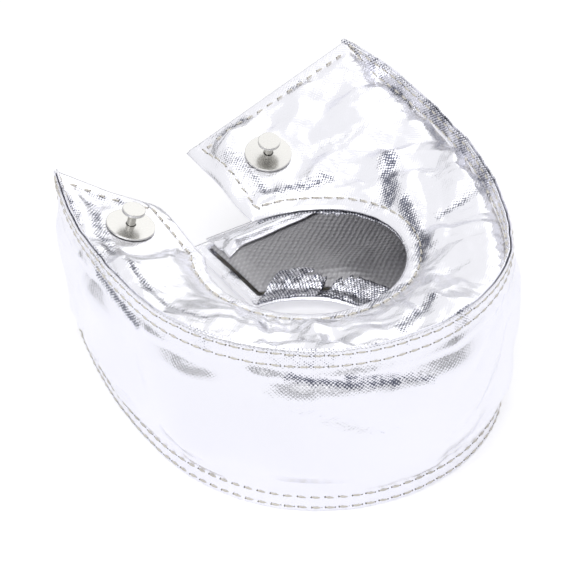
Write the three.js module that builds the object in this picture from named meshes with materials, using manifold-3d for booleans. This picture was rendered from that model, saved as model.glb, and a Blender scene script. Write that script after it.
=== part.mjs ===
// Padded heat blanket for a turbine housing: a horseshoe of two padded panels
// held apart by a curved side band, open at the mouth, with a lacing anchor on
// each leg of the upper panel. Lengths are in millimetres and +Z is up.
import * as THREE from 'three';
import { mergeVertices } from 'three/addons/utils/BufferGeometryUtils.js';
import Module from 'manifold-3d';

const wasm = await Module();
wasm.setup();

// Plan of the panels, measured from the centre of the round opening.
// The mouth faces +Y.
const OPENING_RADIUS = 40;
const MOUTH_LEFT = 34.5;
const MOUTH_RIGHT = 0.5;
const LEFT_CORNER_Y = 54;
const RIGHT_CORNER_Y = 93;

// Plan of the band, three arcs that run into each other
const BODY_RADIUS = 79;
const BODY_X = -4.7;
const BODY_Y = -9.3;
const BODY_START = THREE.MathUtils.degToRad(183);
const BODY_END = THREE.MathUtils.degToRad(332);
const LEFT_LEG_RADIUS = 238;
const LEFT_LEG_LENGTH = 96;
const RIGHT_LEG_RADIUS = 211;
const RIGHT_LEG_LENGTH = 150;
const LEFT_FLARE = 5.5;

// Heights
const HEIGHT = 78;
const TIP_RISE = 4;
const TIP_RISE_RUN = 60;
const FLANGE_HEIGHT = 8;
const FLANGE_END_HEIGHT = 1.2;
const FLANGE_END_RUN = 25;
const LEFT_CORNER_DROP = 18;
const OPENING_DROP = 20;
const INNER_CORNER_DROP = 27;
const RIGHT_CORNER_DROP = 22;
const LOWER_EDGE_HEIGHT = 4;

// Layers
const SKIN = 1;
const LINING = 0.8;
const PADDING = 6.5;
const GAP = 0.3;
const FELT_GAP = 0.4;
const FELT_EDGE = 1;
const FELT_ROUND = 0.6;
const HEM = 6.5;
const HEM_THICKNESS = 2.2;
const HEM_STEP = 0.1;
const FELT_INSET = 2.5;
const SWELL_RUN = 9;
const PANEL_BULGE = 3;
const BAND_BULGE = 3;
const CORNER_CLEAR = 6;
const CREST_STEP = 0.15;
const PRESSED = 0.1;
const SMALLEST_EDGE = 0.02;
const GATHER_DEPTH = 1.1;
const GATHER_PITCH = 56;

// Lacing anchors: a headed pin through an outer washer and an inner plate
const LEFT_ANCHOR_INSET = 28.9; // from the band's outermost line
const LEFT_ANCHOR_X = BODY_X - BODY_RADIUS + LEFT_ANCHOR_INSET;
const LEFT_ANCHOR_Y = 44;
const LEFT_ANCHOR_LEAN = THREE.MathUtils.degToRad(13);
const RIGHT_ANCHOR_X = 23.4;
const RIGHT_ANCHOR_Y = 65.4;
const RIGHT_ANCHOR_LEAN = THREE.MathUtils.degToRad(16);
const LEFT_SEAT_DROP = 12;
const RIGHT_SEAT_DROP = 17;
const WASHER_RADIUS = 10;
const WASHER_THICKNESS = 1;
const PLATE_RADIUS = 9;
const SHANK_RADIUS = 1.75;
const SHANK_CLEARANCE = 0.25;
const NECK_LENGTH = 6;
const HEAD_RADIUS = 4.75;
const HEAD_THICKNESS = 1.5;
const HEAD_ROUND = 0.45;
const RIVET_RADIUS = 2.9;
const RIVET_THICKNESS = 1.1;
const SEAT_FLAT = 5;
const SEAT_BLEND = 13;

// How finely the curved pieces are divided
const STATION_PITCH = 15;
const COLUMNS = [0.1, 0.24, 0.4, 0.58, 0.76, 0.9];
const ROWS = [0.1, 0.26, 0.5, 0.74, 0.9];
const ROUND_SIDES = 16;

const ALUMINISED_CLOTH = { color: '#dcdde2', roughness: 0.28, metalness: 0.9 };
const GLASS_FELT = { color: '#d9d3c1', roughness: 1, metalness: 0 };
const LINING_CLOTH = { color: '#8e8d90', roughness: 0.85, metalness: 0.1 };
const STAINLESS_STEEL = { color: '#c8c5bf', roughness: 0.25, metalness: 1 };

const mix = THREE.MathUtils.lerp;

function share(value, from, to) {
  return (value - from) / (to - from);
}

function ease(value) {
  return THREE.MathUtils.smoothstep(value, 0, 1);
}

function swell(distance) {
  return Math.sin((Math.PI / 2) * THREE.MathUtils.clamp(distance / SWELL_RUN, 0, 1));
}

function polar(radius, angle) {
  return new THREE.Vector2(radius * Math.cos(angle), radius * Math.sin(angle));
}

// The band's line in plan, followed from the tip of the left leg round the
// front of the body to the tip of the right leg
const bodyCentre = new THREE.Vector2(BODY_X, BODY_Y);
const bodyRun = BODY_RADIUS * (BODY_END - BODY_START);
const rightLegStart = LEFT_LEG_LENGTH + bodyRun;
const totalRun = rightLegStart + RIGHT_LEG_LENGTH;

function arcAt(startAngle, radius, angle) {
  const centre = bodyCentre.clone().add(polar(BODY_RADIUS - radius, startAngle));
  return { point: centre.add(polar(radius, angle)), outward: polar(1, angle) };
}

function bandLine(run) {
  if (run < LEFT_LEG_LENGTH) {
    const angle = BODY_START - (LEFT_LEG_LENGTH - run) / LEFT_LEG_RADIUS;
    return arcAt(BODY_START, LEFT_LEG_RADIUS, angle);
  }
  if (run < rightLegStart) {
    const angle = BODY_START + (run - LEFT_LEG_LENGTH) / BODY_RADIUS;
    return arcAt(BODY_START, BODY_RADIUS, angle);
  }
  const angle = BODY_END + (run - rightLegStart) / RIGHT_LEG_RADIUS;
  return arcAt(BODY_END, RIGHT_LEG_RADIUS, angle);
}

// The left leg and the front of the body lean outward toward the top
function lean(run, z) {
  const fade = 1 - ease(share(run, LEFT_LEG_LENGTH, LEFT_LEG_LENGTH + bodyRun / 2));
  return LEFT_FLARE * fade * (1 - z / HEIGHT);
}

function bandPoint(run, z, inward) {
  const { point, outward } = bandLine(run);
  return point.clone().addScaledVector(outward, -(lean(run, z) + inward));
}

// Where the straight mouth edges and the round opening meet, along the band
const leftTip = bandLine(0).point;
const rightTip = bandLine(totalRun).point;
const leftEndSlope = (leftTip.y - LEFT_CORNER_Y) / (-MOUTH_LEFT - leftTip.x);
const rightEndSlope = (rightTip.y - RIGHT_CORNER_Y) / (rightTip.x + MOUTH_RIGHT);
const facingAngle = BODY_END + THREE.MathUtils.degToRad(8);

function runLevelWith(y, low, high) {
  let [a, b] = [low, high];
  const rising = bandLine(high).point.y > bandLine(low).point.y;
  for (let step = 0; step < 40; step += 1) {
    const middle = (a + b) / 2;
    const below = bandLine(middle).point.y < y;
    if (below === rising) a = middle;
    else b = middle;
  }
  return (a + b) / 2;
}

const leftJoinY = Math.sqrt(OPENING_RADIUS ** 2 - MOUTH_LEFT ** 2);
const leftJoinRun = runLevelWith(leftJoinY, 0, LEFT_LEG_LENGTH);
const rightJoinRun = runLevelWith(OPENING_RADIUS + HEM, rightLegStart, totalRun);

function across(direction, slope) {
  const edge = new THREE.Vector2(1, slope).normalize();
  return Math.abs(direction.x * edge.y - direction.y * edge.x);
}

const alongMouth = new THREE.Vector2(0, 1);

function hemRunOnBand(run, slope) {
  const { outward } = bandLine(run);
  return HEM / across(new THREE.Vector2(-outward.y, outward.x), slope);
}

const leftHemRun = hemRunOnBand(0, -leftEndSlope);
const rightHemRun = hemRunOnBand(totalRun, rightEndSlope);
const leftHemInside = HEM / across(alongMouth, -leftEndSlope);
const rightHemInside = HEM / across(alongMouth, rightEndSlope);

// Runs from an end edge to a joint so that the first stretch is the end hem
function legY(fromEnd, hemRun, legRun, endY, hemInside, joinY) {
  if (fromEnd < hemRun) return endY - (hemInside * fromEnd) / hemRun;
  return mix(endY - hemInside, joinY, share(fromEnd, hemRun, legRun));
}

// The panels' inner edge facing a place on the band, set back by an inset
function innerEdge(run, inset) {
  const radius = OPENING_RADIUS + inset;
  const left = -(MOUTH_LEFT + inset);
  const right = inset - MOUTH_RIGHT;
  const leftAngle = Math.acos(left / radius);
  const rightAngle = 2 * Math.PI + Math.acos(right / radius);
  if (run < leftJoinRun) {
    const endY = LEFT_CORNER_Y + inset * leftEndSlope;
    const joinY = radius * Math.sin(leftAngle);
    const y = legY(run, leftHemRun, leftJoinRun, endY, leftHemInside, joinY);
    return new THREE.Vector2(left, y);
  }
  if (run < rightLegStart) {
    const turn = mix(leftAngle, facingAngle, share(run, leftJoinRun, rightLegStart));
    return polar(radius, turn);
  }
  if (run < rightJoinRun) {
    const turn = mix(facingAngle, rightAngle, share(run, rightLegStart, rightJoinRun));
    return polar(radius, turn);
  }
  const endY = RIGHT_CORNER_Y + inset * rightEndSlope;
  const joinY = radius * Math.sin(rightAngle);
  const legRun = totalRun - rightJoinRun;
  const y = legY(totalRun - run, rightHemRun, legRun, endY, rightHemInside, joinY);
  return new THREE.Vector2(right, y);
}

function fromHemLine(place) {
  const round = place.length() - OPENING_RADIUS;
  const middle = -(MOUTH_LEFT + MOUTH_RIGHT) / 2;
  const beside = place.x < middle ? -MOUTH_LEFT - place.x : place.x + MOUTH_RIGHT;
  return (place.y > 0 ? Math.min(round, beside) : round) - HEM;
}

function fromEndLines(place) {
  const left = leftTip.y - leftEndSlope * (place.x - leftTip.x) - place.y;
  const right = rightTip.y + rightEndSlope * (place.x - rightTip.x) - place.y;
  const fromLeft = place.x < 0 ? left / Math.hypot(1, leftEndSlope) : Infinity;
  return Math.min(fromLeft, right / Math.hypot(1, rightEndSlope)) - HEM;
}

function fromEnds(run) {
  return Math.min(run - leftHemRun, totalRun - rightHemRun - run);
}

// Heights along the band: the crest of the upper flange, and the feet of both
function crestHeight(run) {
  return HEIGHT + TIP_RISE * ease(1 - (totalRun - run) / TIP_RISE_RUN);
}

function flangeHeight(run) {
  const nearEnd = Math.min(run, totalRun - run) / FLANGE_END_RUN;
  return mix(FLANGE_END_HEIGHT, FLANGE_HEIGHT, ease(nearEnd));
}

function upperEdgeDrop(run) {
  if (run < leftJoinRun) return mix(LEFT_CORNER_DROP, OPENING_DROP, ease(run / leftJoinRun));
  if (run < rightLegStart) return OPENING_DROP;
  if (run < rightJoinRun) {
    const turned = ease(share(run, rightLegStart, rightJoinRun));
    return mix(OPENING_DROP, INNER_CORNER_DROP, turned);
  }
  const along = ease(share(run, rightJoinRun, totalRun));
  return mix(INNER_CORNER_DROP, RIGHT_CORNER_DROP, along);
}

// The two panels: outer face, direction of the layers and the anchors' seats
function makeSeat(x, y, z, tilt) {
  const place = new THREE.Vector2(x, y);
  const toOpening = place.clone().negate().normalize();
  const axis = new THREE.Vector3(
    toOpening.x * Math.sin(tilt), toOpening.y * Math.sin(tilt), Math.cos(tilt));
  return { place, z, axis };
}

const upperLeftSeat = HEIGHT - LEFT_SEAT_DROP;
const upperRightSeat = HEIGHT - RIGHT_SEAT_DROP;

const PANELS = {
  top: {
    inward: -1,
    foot: (run) => crestHeight(run) - flangeHeight(run),
    crest: (run) => crestHeight(run) - CREST_STEP,
    edge: (run) => HEIGHT - upperEdgeDrop(run),
    seats: {
      left: makeSeat(LEFT_ANCHOR_X, LEFT_ANCHOR_Y, upperLeftSeat, LEFT_ANCHOR_LEAN),
      right: makeSeat(RIGHT_ANCHOR_X, RIGHT_ANCHOR_Y, upperRightSeat, RIGHT_ANCHOR_LEAN),
    },
  },
  bottom: {
    inward: 1,
    foot: (run) => flangeHeight(run),
    crest: () => CREST_STEP,
    edge: () => LOWER_EDGE_HEIGHT,
    seats: {},
  },
};

// One place on a panel: how far it is from the flange's foot (0) to the
// panel's inner edge (1), its height and how much the padding swells there
function panelPlace(panel, run, part, inset) {
  const foot = bandPoint(run, panel.foot(run), 2 * SKIN + GAP);
  const edge = innerEdge(run, inset);
  const place = foot.clone().lerp(edge, part);
  const length = foot.distanceTo(innerEdge(run, 0));
  const reach = foot.distanceTo(place);
  const full = swell(reach) * swell(fromHemLine(place)) * swell(fromEndLines(place));
  const gather = GATHER_DEPTH * Math.sin((2 * Math.PI * run) / GATHER_PITCH);
  let z = mix(panel.foot(run), panel.edge(run), reach / length);
  z -= panel.inward * full * (PANEL_BULGE + gather);
  for (const seat of Object.values(panel.seats)) {
    const apart = seat.place.distanceTo(place);
    const away = ease((apart - WASHER_RADIUS - SEAT_FLAT) / SEAT_BLEND);
    const hold = (1 - away) * ease(reach / SWELL_RUN);
    const offset = place.clone().sub(seat.place);
    const flat = seat.z - (offset.x * seat.axis.x + offset.y * seat.axis.y) / seat.axis.z;
    z = mix(z, flat, hold);
  }
  return { place, z, full, reach };
}

function layerPoint(panel, spot, depth) {
  return { at: spot.place, z: spot.z + panel.inward * depth, across: spot.reach };
}

// The cap of a thin section, from its far edge back along both faces
function capOf(points) {
  const spans = (a, b) => Math.hypot(
    points[a].at.distanceTo(points[b].at), points[a].z - points[b].z);
  const cap = [];
  let low = Math.floor((points.length - 1) / 2);
  let high = low + 1;
  const end = points.length - 1;
  while (low > 0 || high < end) {
    if (high === end || (low > 0 && spans(low - 1, high) < spans(low, high + 1))) {
      cap.push(low - 1, low, high);
      low -= 1;
    } else {
      cap.push(low, high, high + 1);
      high += 1;
    }
  }
  return cap;
}

// A closed solid through a row of like sections. Each section is a ring of
// points that goes out along one face of a thin layer and back along the other,
// and both faces are split along the same diagonals so that layers nest
function solidThrough(sections) {
  const ring = sections[0].length;
  const positions = sections.flatMap((points) =>
    points.flatMap(({ at, z }) => [at.x, at.y, z]));
  const faces = [];
  for (let row = 0; row + 1 < sections.length; row += 1) {
    for (let k = 0; k < ring; k += 1) {
      const a = row * ring + k;
      const b = row * ring + ((k + 1) % ring);
      if (k < ring / 2) faces.push(a, b, b + ring, a, b + ring, a + ring);
      else faces.push(a, b, a + ring, b, b + ring, a + ring);
    }
  }
  const last = (sections.length - 1) * ring;
  faces.push(...capOf(sections[0]).toReversed());
  faces.push(...capOf(sections.at(-1)).map((k) => last + k));
  const outline = sections[0].map(({ across: x, z }) => new THREE.Vector2(x, z));
  const insideOut = THREE.ShapeUtils.isClockWise(outline);
  const geometry = new THREE.BufferGeometry();
  geometry.setAttribute('position', new THREE.Float32BufferAttribute(positions, 3));
  geometry.setIndex(insideOut ? faces.toReversed() : faces);
  return geometry;
}

// The runs at which a piece has a section, with a margin from the end hems
const endSteps = [FELT_GAP, FELT_GAP + FELT_INSET, SWELL_RUN];
const stretches = [
  leftHemRun + SWELL_RUN, leftJoinRun, rightLegStart, rightJoinRun,
  totalRun - rightHemRun - SWELL_RUN,
];

function stations() {
  const runs = [0, leftHemRun, ...endSteps.map((step) => leftHemRun + step)];
  for (let k = 0; k + 1 < stretches.length; k += 1) {
    const parts = Math.ceil((stretches[k + 1] - stretches[k]) / STATION_PITCH);
    for (let part = 1; part <= parts; part += 1) {
      runs.push(mix(stretches[k], stretches[k + 1], part / parts));
    }
  }
  const rightSteps = endSteps.slice(0, -1).reverse();
  runs.push(...rightSteps.map((step) => totalRun - rightHemRun - step));
  runs.push(totalRun - rightHemRun, totalRun);
  return runs;
}

const allRuns = stations();

function runsInside(margin) {
  return allRuns.filter((run) => fromEnds(run) > margin);
}

// Panel layers
function panelSkin(panel) {
  const spot = (run, part, inset) => panelPlace(panel, run, part, inset);
  return solidThrough(allRuns.map((run) => {
    const flange = (z, inward) =>
      ({ at: bandPoint(run, z, inward), z, across: inward - 2 * SKIN - GAP });
    const inHem = fromEnds(run) <= 0;
    const underside = inHem ? HEM_THICKNESS - HEM_STEP : SKIN;
    const columns = [0, ...COLUMNS, 1].map((part) => spot(run, part, HEM));
    const edge = spot(run, 1, 0);
    const hemLine = columns.at(-1);
    const foot = panel.foot(run) + panel.inward * underside;
    return [
      flange(panel.crest(run), SKIN + GAP),
      flange(panel.crest(run), 2 * SKIN + GAP),
      ...columns.map((at) => layerPoint(panel, at, 0)),
      layerPoint(panel, edge, 0),
      layerPoint(panel, edge, HEM_THICKNESS),
      layerPoint(panel, hemLine, HEM_THICKNESS),
      ...columns.slice(1).reverse().map((at) => layerPoint(panel, at, underside)),
      flange(foot, SKIN + GAP),
    ];
  }));
}

// A place on the straight line between two places of one section
function between(near, far, part) {
  return {
    run: near.run,
    place: near.place?.clone().lerp(far.place, part),
    z: mix(near.z, far.z, part),
    full: mix(near.full, far.full, part),
    reach: mix(near.reach, far.reach, part),
    out: mix(near.out, far.out, part),
  };
}

// The places of an inner layer, which stops short of both edges by a margin
function setBack(spots, parts, margin, length) {
  const low = margin / length / parts[0];
  const high = margin / length / (1 - parts.at(-1));
  return [
    between(spots[0], spots[1], low),
    ...spots.slice(1, -1),
    between(spots.at(-1), spots.at(-2), high),
  ];
}

// The ring of one layer's section, with the edges of both faces rounded off
function layerRing(spots, pointAt, layer) {
  const last = spots.length - 1;
  const round = spots.map((spot, k) => (k === 0 || k === last ? layer.round : 0));
  const face = spots.map((spot, k) => pointAt(spot, layer.face(spot.full) + round[k]));
  const back = spots.map((spot, k) => pointAt(spot, layer.back(spot.full) - round[k]));
  return [...face, ...back.reverse()];
}

function panelLayer(panel, layer) {
  return solidThrough(runsInside(layer.margin).map((run) => {
    const whole = [0, ...COLUMNS, 1].map((part) => panelPlace(panel, run, part, HEM));
    const spots = setBack(whole, COLUMNS, layer.margin, whole.at(-1).reach);
    return layerRing(spots, (spot, depth) => layerPoint(panel, spot, depth), layer);
  }));
}

// The layers under the skin, by their depth below the outer face
const FELT = {
  margin: FELT_INSET,
  round: FELT_ROUND,
  face: () => SKIN + FELT_GAP,
  back: (full) => SKIN + FELT_GAP + FELT_EDGE + PADDING * full,
};
const INNER_CLOTH = {
  margin: GAP,
  round: 0,
  face: (full) => FELT.back(full) + FELT_GAP,
  back: (full) => FELT.back(full) + FELT_GAP + LINING,
};

// Band layers: the depth is counted inward from the swollen outer face
function bandSpot(run, part) {
  const low = PANELS.bottom.foot(run) + CORNER_CLEAR;
  const high = PANELS.top.foot(run) - CORNER_CLEAR;
  const z = mix(low, high, part);
  const full = swell(z - low) * swell(high - z) * swell(fromEnds(run));
  const gather = GATHER_DEPTH * Math.sin((2 * Math.PI * run) / GATHER_PITCH + 1);
  return { run, z, full, out: full * (BAND_BULGE + gather) };
}

function bandLayerPoint(spot, depth) {
  const inward = depth - spot.out;
  return { at: bandPoint(spot.run, spot.z, inward), z: spot.z, across: inward };
}

function bandSkin() {
  return solidThrough(allRuns.map((run) => {
    const flange = (z, inward) => ({ at: bandPoint(run, z, inward), z, across: inward });
    const inHem = fromEnds(run) <= 0;
    const back = inHem ? HEM_THICKNESS : SKIN + HEM_STEP;
    const rows = [0, ...ROWS, 1].map((part) => bandSpot(run, part));
    const [low, high] = [rows[0].z, rows.at(-1).z];
    const crest = crestHeight(run);
    return [
      flange(0, 0),
      ...rows.map((spot) => bandLayerPoint(spot, 0)),
      flange(crest, 0),
      flange(crest, SKIN),
      flange(high + GAP, SKIN),
      ...rows.toReversed().map((spot) => bandLayerPoint(spot, back)),
      flange(low - GAP, SKIN),
      flange(0, SKIN),
    ];
  }));
}

function bandLayer(layer) {
  return solidThrough(runsInside(layer.margin).map((run) => {
    const whole = [0, ...ROWS, 1].map((part) => bandSpot(run, part));
    const spots = setBack(whole, ROWS, layer.margin, whole.at(-1).z - whole[0].z);
    return layerRing(spots, bandLayerPoint, layer);
  }));
}

// Anchor pieces, turned about their own axis with the panel's face at zero
const layersAtSeat = INNER_CLOTH.back(1);

function turned(profile) {
  const outline = profile.map(([radius, z]) => new THREE.Vector2(radius, z));
  const geometry = new THREE.LatheGeometry(outline, ROUND_SIDES);
  geometry.rotateX(Math.PI / 2);
  return geometry;
}

function disc(inner, outer, low, high) {
  return turned([[inner, low], [outer, low], [outer, high], [inner, high], [inner, low]]);
}

function anchorPieces(tilt) {
  const through = layersAtSeat * Math.cos(tilt);
  const hole = SHANK_RADIUS + SHANK_CLEARANCE;
  const washerTop = GAP + WASHER_THICKNESS;
  const plateBack = -(through + GAP + WASHER_THICKNESS);
  const headLow = washerTop + NECK_LENGTH;
  const headTop = headLow + HEAD_THICKNESS;
  const rivetTop = plateBack - GAP;
  const rivetLow = rivetTop - RIVET_THICKNESS;
  return {
    washer: disc(hole, WASHER_RADIUS, GAP, washerTop),
    plate: disc(hole, PLATE_RADIUS, plateBack, -(through + GAP)),
    pin: turned([
      [0, rivetLow], [RIVET_RADIUS - HEAD_ROUND, rivetLow], [RIVET_RADIUS, rivetTop],
      [SHANK_RADIUS, rivetTop], [SHANK_RADIUS, headLow], [HEAD_RADIUS, headLow],
      [HEAD_RADIUS, headTop - HEAD_ROUND], [HEAD_RADIUS - HEAD_ROUND, headTop], [0, headTop],
    ]),
  };
}

// Outward direction and place of an anchor on its panel
function seatMatrix(panel, seat) {
  const axis = seat.axis.clone().multiplyScalar(-panel.inward);
  const turn = new THREE.Quaternion().setFromUnitVectors(new THREE.Vector3(0, 0, 1), axis);
  const origin = new THREE.Vector3(seat.place.x, seat.place.y, seat.z);
  return new THREE.Matrix4().compose(origin, turn, new THREE.Vector3(1, 1, 1));
}

// Boolean cuts
function bareSurface(geometry) {
  const bare = geometry.clone();
  bare.deleteAttribute('normal');
  bare.deleteAttribute('uv');
  return mergeVertices(bare);
}

function toSolid(geometry) {
  const merged = bareSurface(geometry);
  return new wasm.Manifold(new wasm.Mesh({
    numProp: 3,
    vertProperties: merged.attributes.position.array,
    triVerts: new Uint32Array(merged.index.array),
  }));
}

function toGeometry(solid) {
  const { vertProperties, triVerts } = solid.getMesh();
  const geometry = new THREE.BufferGeometry();
  geometry.setAttribute('position', new THREE.BufferAttribute(vertProperties, 3));
  geometry.setIndex(new THREE.BufferAttribute(triVerts, 1));
  return geometry;
}

// The hole for an anchor's shank, and the cloth pressed flat by its two discs
function seatCut(panel, seat) {
  const radius = SHANK_RADIUS + SHANK_CLEARANCE;
  const tilt = seat.axis.angleTo(new THREE.Vector3(0, 0, 1));
  const back = -layersAtSeat * Math.cos(tilt);
  const shapes = [
    disc(0, radius, 2 * back, -2 * back),
    disc(0, WASHER_RADIUS + GAP, -PRESSED, NECK_LENGTH),
    disc(0, PLATE_RADIUS + GAP, back - NECK_LENGTH, back + PRESSED),
  ];
  const matrix = seatMatrix(panel, seat);
  return shapes.map((shape) => toSolid(bareSurface(shape).applyMatrix4(matrix)));
}

function withSeats(geometry, panel) {
  let solid = toSolid(geometry);
  for (const seat of Object.values(panel.seats)) {
    for (const cut of seatCut(panel, seat)) solid = solid.subtract(cut);
  }
  return toGeometry(solid.simplify(SMALLEST_EDGE));
}

// Assembly
const blanket = new THREE.Group();

function add(name, geometry, finish) {
  geometry.computeVertexNormals();
  const mesh = new THREE.Mesh(geometry, new THREE.MeshStandardMaterial(finish));
  mesh.name = name;
  blanket.add(mesh);
  return mesh;
}

for (const [side, panel] of Object.entries(PANELS)) {
  add(`${side}_outer_skin`, withSeats(panelSkin(panel), panel), ALUMINISED_CLOTH);
  add(`${side}_insulation`, withSeats(panelLayer(panel, FELT), panel), GLASS_FELT);
  add(`${side}_lining`, withSeats(panelLayer(panel, INNER_CLOTH), panel), LINING_CLOTH);
  for (const [leg, seat] of Object.entries(panel.seats)) {
    const pieces = anchorPieces(seat.axis.angleTo(new THREE.Vector3(0, 0, 1)));
    for (const [piece, geometry] of Object.entries(pieces)) {
      const mesh = add(`${side}_${leg}_anchor_${piece}`, geometry, STAINLESS_STEEL);
      mesh.applyMatrix4(seatMatrix(panel, seat));
    }
  }
}
add('side_outer_skin', bandSkin(), ALUMINISED_CLOTH);
add('side_insulation', bandLayer(FELT), GLASS_FELT);
add('side_lining', bandLayer(INNER_CLOTH), LINING_CLOTH);

// The origin is under the middle of the blanket, on the surface it stands on
const bounds = new THREE.Box3().setFromObject(blanket);
const middle = bounds.getCenter(new THREE.Vector3());
blanket.position.set(-middle.x, -middle.y, -bounds.min.z);

export default blanket;
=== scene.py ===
"""Padded heat blanket for a turbine housing, sewn from aluminised glass cloth.

The script is laid out as an add-on: property groups hold the sizes and colours,
one operator makes each group of pieces, and main() calls them in order.
"""
import math

import bpy
import numpy as np
from mathutils import Matrix, Vector


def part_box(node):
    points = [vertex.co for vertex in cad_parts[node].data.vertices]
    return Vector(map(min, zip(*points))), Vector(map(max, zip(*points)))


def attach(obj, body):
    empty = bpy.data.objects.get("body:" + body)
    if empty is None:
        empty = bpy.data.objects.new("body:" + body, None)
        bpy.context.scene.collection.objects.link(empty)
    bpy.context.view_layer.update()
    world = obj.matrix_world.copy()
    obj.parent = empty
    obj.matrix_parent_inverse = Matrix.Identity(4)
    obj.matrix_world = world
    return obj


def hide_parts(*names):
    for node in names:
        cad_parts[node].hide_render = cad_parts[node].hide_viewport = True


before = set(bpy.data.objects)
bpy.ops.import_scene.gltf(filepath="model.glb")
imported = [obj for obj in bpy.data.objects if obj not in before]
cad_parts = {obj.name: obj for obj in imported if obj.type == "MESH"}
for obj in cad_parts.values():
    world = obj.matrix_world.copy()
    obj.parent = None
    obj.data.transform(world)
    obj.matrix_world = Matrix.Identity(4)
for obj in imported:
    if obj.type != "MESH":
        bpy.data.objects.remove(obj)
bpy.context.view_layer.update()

bl_info = {
    "name": "Heat blanket",
    "version": (1, 0, 0),
    "blender": (4, 5, 0),
    "location": "View3D > Sidebar > Heat blanket",
    "description": "Makes a sewn heat blanket for a turbine housing, and its studio",
    "category": "Add Mesh",
}

BODY = "root"
MM = 0.001
TAU = 2 * math.pi


def linear(code):
    """The linear colour of an sRGB hex value."""
    parts = [int(code[k:k + 2], 16) / 255 for k in (1, 3, 5)]
    return [c / 12.92 if c <= 0.04045 else ((c + 0.055) / 1.055) ** 2.4 for c in parts]


# Kinds of property

def length(name, millimetres, description):
    return bpy.props.FloatProperty(
        name=name, description=description, default=millimetres * MM, unit="LENGTH",
        precision=5)


def turn(name, degrees, description):
    return bpy.props.FloatProperty(
        name=name, description=description, default=math.radians(degrees),
        subtype="ANGLE")


def colour(name, code, description):
    return bpy.props.FloatVectorProperty(
        name=name, description=description, default=linear(code), subtype="COLOR",
        min=0, max=1)


class BlanketPlan(bpy.types.PropertyGroup):
    """Plan of the panels and the band, from the centre of the round opening."""

    opening_radius: length("Opening radius", 40, "Radius of the round opening")
    mouth_left: length("Mouth left", 34.5, "Left mouth edge, left of the centre")
    mouth_right: length("Mouth right", 0.5, "Right mouth edge, left of the centre")
    left_corner_y: length("Left corner", 54, "End of the left mouth edge")
    right_corner_y: length("Right corner", 93, "End of the right mouth edge")
    body_radius: length("Body radius", 79, "Radius of the band round the front")
    body_x: length("Body centre X", -4.7, "Centre of the front arc")
    body_y: length("Body centre Y", -9.3, "Centre of the front arc")
    body_start: turn("Body start", 183, "Where the left leg meets the front arc")
    body_end: turn("Body end", 332, "Where the front arc meets the right leg")
    left_leg_radius: length("Left leg radius", 238, "Radius of the left leg's arc")
    left_leg_length: length("Left leg length", 96, "Length of the left leg's arc")
    right_leg_radius: length("Right leg radius", 211, "Radius of the right leg's arc")
    right_leg_length: length("Right leg length", 150, "Length of the right leg's arc")
    left_flare: length("Left flare", 5.5, "How far the left leg leans out at the top")


class BlanketHeights(bpy.types.PropertyGroup):
    """Heights above the surface that the blanket stands on."""

    height: length("Height", 78, "Crest of the upper flange seam")
    tip_rise: length("Tip rise", 4, "Extra height at the right tip")
    tip_rise_run: length("Tip rise run", 60, "Length over which the tip rises")
    flange: length("Flange height", 8, "Height of the standing flange seams")
    flange_end: length("Flange end height", 1.2, "Height of the flange at the tips")
    flange_end_run: length("Flange end run", 25, "Length over which a flange dies out")
    left_corner_drop: length("Left corner drop", 18, "Left corner below the crest")
    opening_drop: length("Opening drop", 20, "Round opening below the crest")
    inner_corner_drop: length("Inner corner drop", 27, "Inner corner below the crest")
    right_corner_drop: length("Right corner drop", 22, "Right corner below the crest")
    lower_edge: length("Lower edge", 4, "Edge of the lower opening")


class BlanketLayers(bpy.types.PropertyGroup):
    """The cloths, the felt and how they swell between the seams."""

    skin: length("Outer cloth", 1, "Thickness of the aluminised cloth")
    lining: length("Lining", 0.8, "Thickness of the lining cloth")
    padding: length("Padding", 6.5, "Thickness that the felt gains away from seams")
    gap: length("Gap", 0.3, "Clearance between cloths")
    felt_gap: length("Felt gap", 0.4, "Clearance between cloth and felt")
    felt_edge: length("Felt edge", 1, "Thickness of the felt at its edge")
    felt_inset: length("Felt inset", 2.5, "How far the felt stops short of a seam")
    hem: length("Hem", 6.5, "Width of the hems")
    hem_thickness: length("Hem thickness", 2.2, "Thickness of the folded hems")
    swell_run: length("Swell run", 9, "Distance in which the padding fills out")
    panel_bulge: length("Panel bulge", 3, "How far the padding lifts the panels")
    band_bulge: length("Band bulge", 3, "How far the padding lifts the band")
    corner_clear: length("Corner clearance", 6, "Flat strip beside the flanges")
    gather_depth: length("Gather depth", 1.1, "Depth of the long soft waves")
    gather_pitch: length("Gather pitch", 56, "Length of the long soft waves")


class BlanketSeams(bpy.types.PropertyGroup):
    """Stitches, needle holes and folded tabs."""

    pitch: length("Stitch pitch", 5.2, "Distance from one stitch to the next")
    stitch: length("Stitch length", 3.7, "Length of one stitch")
    thread: length("Thread radius", 0.34, "Radius of the sewing thread")
    rise: length("Stitch rise", 0.34, "How far a stitch stands up in its middle")
    hole: length("Needle hole radius", 0.3, "Radius of the needle holes")
    crest_row: length("Crest row", 2.1, "Upper stitch row below the flange's crest")
    foot_row: length("Foot row", 0.7, "Lower stitch row above the flange's foot")
    tab: length("Tab length", 13, "Depth of the folded tabs round the openings")
    tab_width: length("Tab width", 18, "Width of a folded tab along the opening")


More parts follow.
